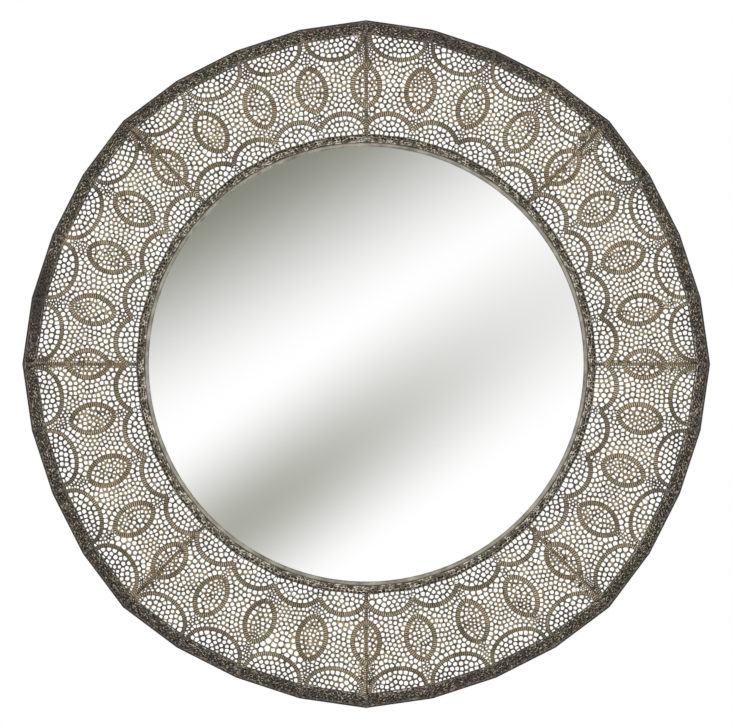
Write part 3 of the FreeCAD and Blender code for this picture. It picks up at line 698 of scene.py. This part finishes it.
def face_sheet(rng):
    """Net, bands and seams of one panel's face."""
    sheet = Sheet()
    doubled = rng.uniform(*DOUBLED_WIDTHS, 2)
    strips = rng.uniform(*STRIP_WIDTHS, 2)
    lines = panel_lines(rng.uniform(*SEAM_LIGHTS))
    ladders = [(resample(line, WALL_SAMPLE), size, top, band) for line, size, top, band in lines]
    seeds, kinds, outlines = net_cells(ladders, doubled, strips, rng)
    openings = openings_of(kinds, rng)
    pits = np.where(kinds == DOUBLED, DOUBLED_PIT, PIT)
    for outline, kind, opening, pit in zip(outlines, kinds, openings, pits):
        if len(outline) > 2:
            sheet.add_cell(outline, WEBS[kind], opening, pit)
    for line, size, top, band in ladders:
        sheet.add_ladder(line, size, LADDER_RELIEF, top, band)
    return sheet


def panel_parts(number):
    """All flat pieces of one panel, each with the function that folds it into its place."""
    rng = np.random.default_rng(FIRST_SEED + number)
    yield face_sheet(rng), face_points
    for repeat in range(PER_PANEL):
        ribs = (repeat, repeat + 1)
        crease = [outer_corner(rib, CREASE_RADIUS) for rib in ribs]
        foot = [outer_corner(rib, SKIRT_FOOT_RADIUS) for rib in ribs]
        skirt = Facet(crease, foot, FOOT_Y)
        sheet = facet_net(skirt, SKIRT_ROWS, FOOT_STRIP, EDGE_STRIP[0], rng)
        for end in (0, 1):
            sheet.add_ladder(skirt.side_line(end, EDGE_STRIP[0] / 2), EDGE_STRIP, EDGE_RELIEF, 0.0, 0.0)
        yield sheet, skirt.points
        crease = [inner_corner(rib, INNER_CREASE_RADIUS) for rib in reversed(ribs)]
        foot = [inner_corner(rib, INNER_FOOT_RADIUS) for rib in reversed(ribs)]
        wall = Facet(crease, foot, LIP_Y)
        yield facet_net(wall, WALL_ROWS, WALL_STRIP, 0.0, rng), wall.points


def panel_mesh(number):
    """Mesh of one panel with its flat map and the values that its finish reads."""
    gathered = {name: [] for name in ("spots", "places", "groove", "band", "behind")}
    faces = []
    first = 0
    for sheet, fold in panel_parts(number):
        data = sheet.arrays()
        data["spots"], data["places"] = fold(data)
        for name, rows in gathered.items():
            rows.append(data[name])
        faces += [tuple(first + index for index in face) for face in sheet.faces]
        first += sheet.count
    values = {name: np.concatenate(rows) for name, rows in gathered.items()}
    soiled = {name: values[name] for name in ("groove", "band")}
    mesh = new_mesh(f"lace_{number}", values["spots"].tolist(), faces, **soiled)
    corner_of = np.empty(len(mesh.loops), np.int32)
    mesh.loops.foreach_get("vertex_index", corner_of)
    flat_map = (values["places"] - MAP_ORIGIN) / MAP_SIZE
    flat_map[:, 1] += MAP_BACK * values["behind"]
    layer = mesh.uv_layers.new(name="OFBake")
    layer.data.foreach_set("uv", flat_map[corner_of].astype(np.float32).ravel())
    edit = bmesh.new()
    edit.from_mesh(mesh)
    bmesh.ops.remove_doubles(edit, verts=edit.verts, dist=WELD)
    bmesh.ops.dissolve_degenerate(edit, edges=edit.edges, dist=LEAST_EDGE)
    edit.to_mesh(mesh)
    edit.free()
    return mesh


def make_lace(material):
    for number in range(1, PANELS + 1):
        mesh = panel_mesh(number)
        mesh.transform(Matrix.Rotation((number - 0.5) * PANEL_ANGLE, 4, "Y"))
        piece = add_object(f"lace_{number}", mesh, material)
        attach(piece, "frame")
        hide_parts(f"lace_panel_{number}")


# Screws: a round head with a cross recess and a threaded shank in the place of each plain CAD screw

SCREW_REACH = 8 * MM
HEAD_HEIGHT = 2.0 * MM
# Rings of the recess: share of its reach, share of the head's height and dirt
RECESS_RINGS = ((0.62, 0.70, 1.0), (0.95, 0.14, 0.7), (1.03, 0.0, 0.1))
RECESS_REACH = 0.60
RECESS_HALF_WIDTH = 0.26
RECESS_PARTS = 3
# Rings of the head: share of its radius and of its height
HEAD_RINGS = ((0.70, 0.0), (0.86, 0.08), (0.96, 0.24), (1.0, 0.46), (1.0, 0.90), (0.96, 1.0))
THREAD_PITCH = 1.2 * MM
THREAD_STEPS = 6
THREAD_DEPTH = 0.24
TIP_LENGTH = 2.2 * MM
TIP_SHARE = 0.1
# Slice of the CAD screw's tip that shows how thick its shank is
TIP_SLICE = 0.1 * MM
SHANK_DIRT = 0.2
SCREW_TURN = math.radians(37)
SHARP_ANGLE = math.radians(38)


def screw_parts(name):
    """Points of each screw of a CAD node."""
    spots = np.array([vert.co for vert in NODES[name].data.vertices])
    while len(spots):
        apart = spots - spots[0]
        near = np.hypot(apart[:, 0], apart[:, 2]) < SCREW_REACH
        yield spots[near]
        spots = spots[~near]


def recess_outline():
    """Outline of a cross with arms of length 1, anticlockwise."""
    half = RECESS_HALF_WIDTH
    arm = np.array(((1.0, -half), (1.0, half), (half, half)))
    corners = np.vstack([turn_flat(arm, -quarter * math.pi / 2) for quarter in range(4)])
    following = np.roll(corners, -1, axis=0)
    shares = np.arange(RECESS_PARTS) / RECESS_PARTS
    return np.vstack([start + shares[:, None] * (end - start) for start, end in zip(corners, following)])


def screw_rings(radius, shank, length):
    """Rings from the bottom of a screw's recess to its tip: flat places, depth and dirt."""
    outline = recess_outline()
    angle = np.arctan2(outline[:, 1], outline[:, 0])
    around = np.column_stack((np.cos(angle), np.sin(angle)))
    for share, depth, darkening in RECESS_RINGS:
        yield outline * radius * RECESS_REACH * share, depth * HEAD_HEIGHT, darkening
    for share, depth in HEAD_RINGS:
        yield around * radius * share, depth * HEAD_HEIGHT, 0.0
    steps = int((length - HEAD_HEIGHT) / THREAD_PITCH * THREAD_STEPS)
    for depth in np.linspace(HEAD_HEIGHT, length, steps):
        ridge = np.cos(angle + 2 * math.pi * depth / THREAD_PITCH)
        taper = min(1.0, TIP_SHARE + (length - depth) / TIP_LENGTH)
        size = shank * taper * (1 - THREAD_DEPTH * (0.5 + 0.5 * ridge))
        yield around * size[:, None], depth, SHANK_DIRT


def make_screws(name, piece_name, material):
    """One piece with all screws of a CAD node, each recess turned its own way."""
    spots = []
    darkening = []
    faces = []
    for number, part in enumerate(screw_parts(name)):
        low, high = part.min(axis=0), part.max(axis=0)
        middle = (low + high) / 2
        tip = part[part[:, 1] < low[1] + TIP_SLICE]
        shank = np.ptp(tip[:, 0]) / 2
        first = len(spots)
        rings = list(screw_rings((high[0] - low[0]) / 2, shank, high[1] - low[1]))
        for flat, depth, soiled in rings:
            turned = turn_flat(flat, number * SCREW_TURN)
            spots += [(middle[0] + x, high[1] - depth, middle[2] + z) for x, z in turned]
            darkening += [soiled] * len(flat)
        size = len(rings[0][0])
        for start in range(first, len(spots) - size, size):
            faces += ring_quads(start, start + size, size)
        for start, (_, depth, soiled) in ((first, rings[0]), (len(spots) - size, rings[-1])):
            centre = len(spots)
            spots.append((middle[0], high[1] - depth, middle[2]))
            darkening.append(soiled)
            faces += [(centre, start + index, start + (index + 1) % size) for index in range(size)]
    mesh = new_mesh(piece_name, spots, faces, groove=darkening)
    edit = bmesh.new()
    edit.from_mesh(mesh)
    bmesh.ops.recalc_face_normals(edit, faces=edit.faces)
    edit.to_mesh(mesh)
    edit.free()
    mesh.set_sharp_from_angle(angle=SHARP_ANGLE)
    piece = add_object(piece_name, mesh, material)
    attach(piece, "frame")
    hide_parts(name)


# Finishes

# Places of the colour sockets on a Mix node
MIX_FACTOR = 0
MIX_FIRST = 6
MIX_SECOND = 7
MIX_COLOUR = 2


class Nodes:
    """The nodes of a material or of the world."""

    def __init__(self, owner):
        owner.use_nodes = True
        self.tree = owner.node_tree

    def fill(self, node, inputs):
        """Gives inputs of a node, by name or number, a value or a link."""
        for key, value in inputs.items():
            if isinstance(value, bpy.types.NodeSocket):
                self.tree.links.new(value, node.inputs[key])
            else:
                node.inputs[key].default_value = value

    def add(self, kind, inputs, **settings):
        """Outputs of a new node."""
        node = self.tree.nodes.new("ShaderNode" + kind)
        for name, value in settings.items():
            setattr(node, name, value)
        self.fill(node, inputs)
        return node.outputs

    def ramp(self, value, low, high):
        """0 below the low value, 1 above the high one, smooth between."""
        inputs = {"Value": value, "From Min": low, "From Max": high}
        return self.add("MapRange", inputs, interpolation_type="SMOOTHSTEP")["Result"]

    def span(self, value, low, high):
        """A share from 0 to 1 turned into a value from low to high."""
        return self.add("MapRange", {"Value": value, "To Min": low, "To Max": high})["Result"]

    def math(self, kind, first, second):
        return self.add("Math", {0: first, 1: second}, operation=kind)["Value"]

    def times(self, first, second):
        return self.math("MULTIPLY", first, second)

    def mix(self, share, first, second):
        inputs = {MIX_FACTOR: share, MIX_FIRST: first, MIX_SECOND: second}
        return self.add("Mix", inputs, data_type="RGBA")[MIX_COLOUR]

    def seen(self):
        """1 for what the camera, a reflection or a clear piece shows, 0 for light."""
        path = self.add("LightPath", {})
        shown = self.math("MAXIMUM", path["Is Camera Ray"], path["Is Glossy Ray"])
        return self.math("MAXIMUM", shown, path["Is Transmission Ray"])


class Finish(Nodes):
    """A material whose nodes read the piece's own place."""

    def __init__(self, name):
        self.material = bpy.data.materials.new(name)
        super().__init__(self.material)
        self.shader = self.tree.nodes["Principled BSDF"]
        self.place = self.add("TexCoord", {})["Object"]

    def set(self, **values):
        """Gives the shader's inputs values or links."""
        self.fill(self.shader, {name.replace("_", " ").title(): value for name, value in values.items()})

    def show(self, surface):
        """Shows another shader in place of the material's first one."""
        self.fill(self.tree.nodes["Material Output"], {"Surface": surface})

    def noise(self, scale, detail, stretch=None):
        place = self.place
        if stretch:
            place = self.add("Mapping", {"Vector": place, "Scale": stretch})["Vector"]
        return self.add("TexNoise", {"Vector": place, "Scale": scale, "Detail": detail})["Fac"]

    def noise_along(self, value, scale):
        """Noise that changes with one value only."""
        return self.add("TexNoise", {"W": value, "Scale": scale}, noise_dimensions="1D")["Fac"]

    def patches(self, scale, detail, low, high, stretch=None):
        """Noise made into patches, 1 inside and 0 outside."""
        return self.ramp(self.noise(scale, detail, stretch), low, high)

    def attribute(self, name):
        return self.add("Attribute", {}, attribute_name=name)["Fac"]

    def radius(self, kept=(1.0, 0.0, 1.0)):
        """Distance from the mirror's axis, or from the axis whose share is 0."""
        flat = self.add("VectorMath", {0: self.place, 1: kept}, operation="MULTIPLY")["Vector"]
        return self.add("VectorMath", {0: flat}, operation="LENGTH")["Value"]

    def done(self, colour, metallic, rough, relief):
        """The material with a colour, a value spread over a range of roughness, and a relief."""
        bump = self.add("Bump", dict(zip(("Height", "Strength", "Distance"), relief)))
        self.set(base_color=colour, metallic=metallic, roughness=self.span(*rough), normal=bump["Normal"])
        return self.material


def lace_finish():
    """Antique bronze, grey within and warm in the middle, rusty and green in patches, with painted light
    and shade: the face lighter in the middle and darker towards its edges, the skirt a dark copy with
    painted glints, and painted shade with the soiling in the holes.
    """
    finish = Finish("pierced_lace")
    # The grey near the inner edge and the umber near the crease are the finish's tones darkened with
    # painted shade; the bronze middle is its warm tone lightened with painted light
    shaded_pewter = (0.157, 0.122, 0.086, 1)
    bronze = (0.298, 0.222, 0.107, 1)
    shaded_umber = (0.086, 0.065, 0.040, 1)
    brass = (0.55, 0.424, 0.212, 1)
    worn = (0.72, 0.588, 0.41, 1)
    rust = (0.13, 0.072, 0.036, 1)
    green = (0.235, 0.222, 0.115, 1)
    near_black = (0.018, 0.014, 0.010, 1)
    # Colours of the skirt: a dark shaded copy of the lace, and bright reddish and olive painted glints
    shaded_skirt_dark = (0.030, 0.015, 0.004, 1)
    skirt_red_glint = (0.97, 0.75, 0.58, 1)
    skirt_olive_glint = (0.97, 0.84, 0.58, 1)
    wall_dark = (0.23, 0.19, 0.135, 1)
    wall_light = (0.92, 0.83, 0.67, 1)
    radius = finish.radius()
    # Painted light and shade: lighter in the middle of the face and darker towards its inner and outer
    # edges, as if the face bulged towards the light
    colour = finish.mix(finish.ramp(radius, INNER_FLAT + 8 * MM, MEDALLION_AT - 12 * MM), shaded_pewter, bronze)
    colour = finish.mix(finish.ramp(radius, MEDALLION_AT + 15 * MM, CREASE_FLAT - 8 * MM), colour, shaded_umber)
    mottle = finish.patches(24, 3, 0.45, 0.75)
    colour = finish.mix(finish.times(mottle, 0.7), colour, brass)
    band = finish.attribute("band")
    rusty = finish.times(finish.patches(38, 2, 0.52, 0.66), finish.span(band, 0.35, 0.75))
    colour = finish.mix(rusty, colour, rust)
    greenish = finish.patches(17, 2, 0.55, 0.68, (1.0, 1.0, 1.3))
    colour = finish.mix(finish.times(greenish, 0.6), colour, green)
    # Painted shade and glints on the skirt: a dark copy of the lace with bright specks painted as glints
    # on its ridges, painted shade growing towards its foot, and darker cloud patches of its own tone
    skirt_glints = finish.mix(finish.patches(11, 2, 0.42, 0.58), skirt_red_glint, skirt_olive_glint)
    glint_specks = finish.patches(340, 3, 0.515, 0.60)
    shaded_skirt_tone = finish.mix(glint_specks, shaded_skirt_dark, skirt_glints)
    hem_shade = finish.ramp(radius, CREASE_FLAT + 4 * MM, RIM_RADIUS - 3 * MM)
    shade = finish.math("MAXIMUM", finish.times(hem_shade, 0.6), finish.patches(7, 2, 0.45, 0.75))
    shaded_skirt_tone = finish.mix(shade, shaded_skirt_tone, shaded_skirt_dark)
    skirt = finish.ramp(radius, CREASE_FLAT - 3 * MM, CREASE_FLAT + 5 * MM)
    colour = finish.mix(finish.times(skirt, 0.9), colour, shaded_skirt_tone)
    wall = finish.ramp(radius, INNER_FLAT + 0.5 * MM, INNER_FLAT - 2 * MM)
    flecks = finish.patches(170, 4, 0.44, 0.58)
    colour = finish.mix(wall, colour, finish.mix(flecks, wall_dark, wall_light))
    rubbed = finish.span(finish.patches(21, 2, 0.35, 0.65), 0.2, 0.8)
    colour = finish.mix(finish.times(band, rubbed), colour, worn)
    tarnish = finish.times(finish.patches(330, 2, 0.46, 0.60), finish.span(band, 0.78, 0.35))
    colour = finish.mix(tarnish, colour, near_black)
    grain = finish.noise(900, 2)
    # Dirt and painted shade: the groove values darken the colour towards near black where the lace lies
    # low, and in the holes' edges and walls this stands for the shade in them
    darkening = finish.times(finish.attribute("groove"), finish.span(grain, 0.75, 1.0))
    colour = finish.mix(darkening, colour, near_black)
    return finish.done(colour, 0.3, (grain, 0.38, 0.62), (grain, 0.35, 0.3 * MM))


def patina_finish(name, dark, light, metallic):
    """Dark patinated steel with lighter rubbed spots."""
    finish = Finish(name)
    grain = finish.noise(700, 2)
    colour = finish.mix(finish.patches(55, 4, 0.35, 0.7), dark, light)
    return finish.done(colour, metallic, (grain, 0.35, 0.6), (grain, 0.25, 0.3 * MM))


def bezel_finish():
    """Pewter with turned lines, with painted shadow in the corner under the lace and painted shade on the
    cup under the lace's inner wall.
    """
    finish = Finish("bezel_pewter")
    lip_dark = (0.105, 0.097, 0.079, 1)
    lip_light = (0.46, 0.427, 0.36, 1)
    # Dark copies of the pewter: painted shade for the cup under the lace's inner wall
    shaded_cup_dark = (0.030, 0.026, 0.020, 1)
    shaded_cup_light = (0.14, 0.118, 0.085, 1)
    near_black = (0.018, 0.015, 0.012, 1)
    radius = finish.radius()
    lines = finish.noise_along(radius, 1300)
    cloud = finish.noise(70, 4)
    tone = finish.math("ADD", finish.times(lines, 0.6), finish.times(cloud, 0.4))
    colour = finish.mix(finish.ramp(tone, 0.36, 0.64), lip_dark, lip_light)
    # Painted shadow: near black in the corner where the lace's inner wall meets the lip
    painted_corner_shadow = finish.ramp(radius, INNER_FOOT_RADIUS - 2.4 * MM, INNER_FOOT_RADIUS - 0.6 * MM)
    colour = finish.mix(painted_corner_shadow, colour, near_black)
    # Painted shade: the cup under the inner wall takes the dark copies of the pewter
    shaded_cup = finish.ramp(radius, INNER_FOOT_RADIUS + 2 * MM, CUP_RADIUS - 0.5 * MM)
    colour = finish.mix(shaded_cup, colour, finish.mix(finish.ramp(cloud, 0.38, 0.66), shaded_cup_dark, shaded_cup_light))
    return finish.done(colour, 0.45, (cloud, 0.3, 0.55), (lines, 0.3, 0.3 * MM))


def mirror_finish():
    """Silvered glass with a trace of dust."""
    finish = Finish("silvered_glass")
    dust = finish.patches(60, 5, 0.5, 0.8)
    silver = (0.935, 0.94, 0.935, 1)
    finish.set(base_color=silver, metallic=1.0, roughness=finish.span(dust, 0.0, 0.02))
    return finish.material


def plated_finish(name, dark, light):
    """Plated steel with spangle, drawn lines, dull stains and dirt in its recesses."""
    finish = Finish(name)
    soil = (0.05, 0.045, 0.035, 1)
    spangle = finish.patches(160, 2, 0.35, 0.65)
    lines = finish.noise(500, 3, (1.0, 1.0, 0.12))
    stains = finish.patches(45, 4, 0.48, 0.75)
    colour = finish.mix(spangle, dark, light)
    colour = finish.mix(finish.times(stains, 0.45), colour, soil)
    colour = finish.mix(finish.times(finish.attribute("groove"), 0.85), colour, soil)
    return finish.done(colour, 0.9, (lines, 0.28, 0.5), (lines, 0.15, 0.2 * MM))


def board_finish():
    """Brown hardboard with pressed fibres."""
    finish = Finish("fibreboard")
    brown = (0.30, 0.185, 0.095, 1)
    pale = (0.36, 0.235, 0.13, 1)
    dark = (0.16, 0.09, 0.045, 1)
    fibres = finish.noise(520, 6, (1.0, 1.0, 0.35))
    colour = finish.mix(finish.patches(9, 3, 0.3, 0.7), brown, pale)
    flecks = finish.ramp(fibres, 0.45, 0.72)
    colour = finish.mix(finish.times(flecks, 0.4), colour, dark)
    return finish.done(colour, 0.0, (fibres, 0.62, 0.85), (fibres, 0.3, 0.4 * MM))


def card_finish():
    """Grey card behind the silvering."""
    finish = Finish("liner_card")
    fibres = finish.noise(420, 5)
    colour = finish.mix(fibres, (0.45, 0.43, 0.39, 1), (0.58, 0.56, 0.52, 1))
    return finish.done(colour, 0.0, (fibres, 0.75, 0.95), (fibres, 0.2, 0.2 * MM))


def dress(names, material):
    """Gives CAD nodes a finish."""
    for name in names:
        for slot in NODES[name].material_slots:
            slot.material = material


def dress_hardware():
    dark = patina_finish("frame_patina", (0.022, 0.019, 0.016, 1), (0.085, 0.073, 0.056, 1), 0.4)
    dress(["back_ring"], dark)
    brown = patina_finish("rib_patina", (0.060, 0.050, 0.036, 1), (0.20, 0.165, 0.11, 1), 0.3)
    dress(numbered("rib"), brown)
    dress(["mirror_band"], bezel_finish())
    dress(["mirror_glass"], mirror_finish())
    dress(["liner_sheet"], card_finish())
    dress(["backing_board"], board_finish())
    zinc = plated_finish("zinc_plate", (0.22, 0.22, 0.21, 1), (0.40, 0.405, 0.40, 1))
    dress(numbered("retaining_tab") + ["hanger_left", "hanger_right"], zinc)
    bright = plated_finish("bright_steel", (0.33, 0.33, 0.32, 1), (0.52, 0.52, 0.51, 1))
    dress(["d_ring_left", "d_ring_right"], bright)
    make_screws("tab_screws", "tab_screw_set", bright)
    make_screws("hanger_screws", "hanger_screw_set", bright)


# Stage: camera, floor, reflected dome, lamps and background

IMAGE_WIDTH = 734
PIXELS_PER_METRE = 859.5
CAMERA_DISTANCE = 4.0
SENSOR = 36.0
CENTRE_SHIFT = (0.8 / IMAGE_WIDTH, 0.1 / IMAGE_WIDTH)
FLOOR_Z = -0.80
FLOOR_SIZE = 12.0
# The floor glows white from the second radius on, and partly within the first
FLOOR_FADE = (0.4, 2.4)
FLOOR_GLOW = 0.55
WORLD_LIGHT = 0.55
LAMP_SIZE = 1.6
# Place and power of each lamp
LAMPS = {
    "key": ((-1.6, -2.4, 2.2), 60),
    "fill": ((2.0, -2.2, 0.6), 26),
    "back": ((1.2, 2.6, 1.8), 50),
}

# Reflected dome: shares of x and z that each direction on it takes, and where its grey begins and ends
DOME_RADIUS = 6.0
DOME_OPEN = 0.05
DOME_STRENGTH = 1.06
CORNER_DIRECTION = (-0.5, 0.866)
CORNER_RISE = (0.11, 0.67)
CORNER_FALL = (1.6, 0.9)
CORNER_GREY = (0.23, 0.235, 0.19, 1)
BAND_DIRECTION = (0.574, -0.819)
BAND_AT = 0.165
BAND_SPACING = 1.6
BAND_REACH = 0.29
BAND_GREY = (0.42, 0.425, 0.38, 1)
ALONG_DIRECTION = (-0.78, -0.62)
ALONG_RISE = (-0.7, 0.6)
ALONG_LEAST = 0.3
WHITE = (1, 1, 1, 1)


def make_camera():
    data = bpy.data.cameras.new("camera")
    data.sensor_width = SENSOR
    data.lens = PIXELS_PER_METRE * CAMERA_DISTANCE * SENSOR / IMAGE_WIDTH
    data.shift_x, data.shift_y = CENTRE_SHIFT
    camera = add_object("camera", data)
    camera.location = (0.0, -CAMERA_DISTANCE, 0.0)
    camera.rotation_euler = (math.radians(90), 0.0, 0.0)
    bpy.context.scene.camera = camera


def make_floor():
    """A pale floor that keeps soft shadows and fades into the white background around it."""
    finish = Finish("floor")
    finish.set(base_color=(0.9, 0.9, 0.89, 1), roughness=0.9)
    faded = finish.span(finish.ramp(finish.radius((1.0, 1.0, 0.0)), *FLOOR_FADE), FLOOR_GLOW, 1.0)
    glow = finish.add("Emission", {})["Emission"]
    blend = {"Fac": finish.times(finish.seen(), faded), 1: finish.shader.outputs["BSDF"], 2: glow}
    finish.show(finish.add("MixShader", blend)["Shader"])
    spots = [(x * FLOOR_SIZE / 2, y * FLOOR_SIZE / 2, FLOOR_Z) for x, y in SQUARE]
    floor = add_object("floor", new_mesh("floor", spots, [(0, 1, 2, 3)]), finish.material)
    floor.visible_glossy = False


def make_reflected_dome():
    """A dome in front of the mirror with soft grey bands, which only reflections show."""
    finish = Finish("dome")
    finish.tree.nodes.remove(finish.shader)
    place = finish.add("SeparateXYZ", {"Vector": finish.place})

    def slant(direction):
        """How far a place on the dome lies in a direction."""
        across = finish.times(place["X"], direction[0])
        return finish.math("ADD", across, finish.times(place["Z"], direction[1]))

    upper = slant(CORNER_DIRECTION)
    corner_shade = finish.times(finish.ramp(upper, *CORNER_RISE), finish.ramp(upper, *CORNER_FALL))
    across_bands = finish.math("SUBTRACT", slant(BAND_DIRECTION), BAND_AT)
    from_band = finish.math("PINGPONG", across_bands, BAND_SPACING / 2)
    along_band = finish.span(finish.ramp(slant(ALONG_DIRECTION), *ALONG_RISE), ALONG_LEAST, 1.0)
    band_shade = finish.times(finish.ramp(from_band, BAND_REACH, 0.0), along_band)
    colour = finish.mix(corner_shade, WHITE, CORNER_GREY)
    colour = finish.mix(band_shade, colour, BAND_GREY)
    finish.show(finish.add("Emission", {"Color": colour, "Strength": DOME_STRENGTH})["Emission"])
    shape = bmesh.new()
    bmesh.ops.create_uvsphere(shape, u_segments=64, v_segments=32, radius=DOME_RADIUS)
    behind = [vert for vert in shape.verts if vert.co.y > -DOME_OPEN * DOME_RADIUS]
    bmesh.ops.delete(shape, geom=behind, context="VERTS")
    mesh = bpy.data.meshes.new("dome")
    shape.to_mesh(mesh)
    shape.free()
    dome = add_object("dome", mesh, finish.material)
    dome.visible_camera = False
    dome.visible_diffuse = False
    dome.visible_shadow = False


def make_lamps():
    """Square lamps that face the mirror and don't show in it."""
    for name, (place, power) in LAMPS.items():
        data = bpy.data.lights.new(name, "AREA")
        data.shape = "SQUARE"
        data.size = LAMP_SIZE
        data.energy = power
        lamp = add_object(name, data)
        lamp.location = place
        lamp.rotation_euler = (-Vector(place)).to_track_quat("-Z", "Y").to_euler()
        lamp.visible_glossy = False


def make_world():
    """White behind the object and in its reflections, and an even soft light on it."""
    world = bpy.data.worlds.new("studio")
    bpy.context.scene.world = world
    nodes = Nodes(world)
    strength = nodes.span(nodes.seen(), WORLD_LIGHT, 1.0)
    nodes.fill(nodes.tree.nodes["Background"], {"Color": WHITE, "Strength": strength})


make_camera()
make_lace(lace_finish())
dress_hardware()
make_floor()
make_reflected_dome()
make_lamps()
make_world()
bpy.context.scene.view_settings.view_transform = "Standard"
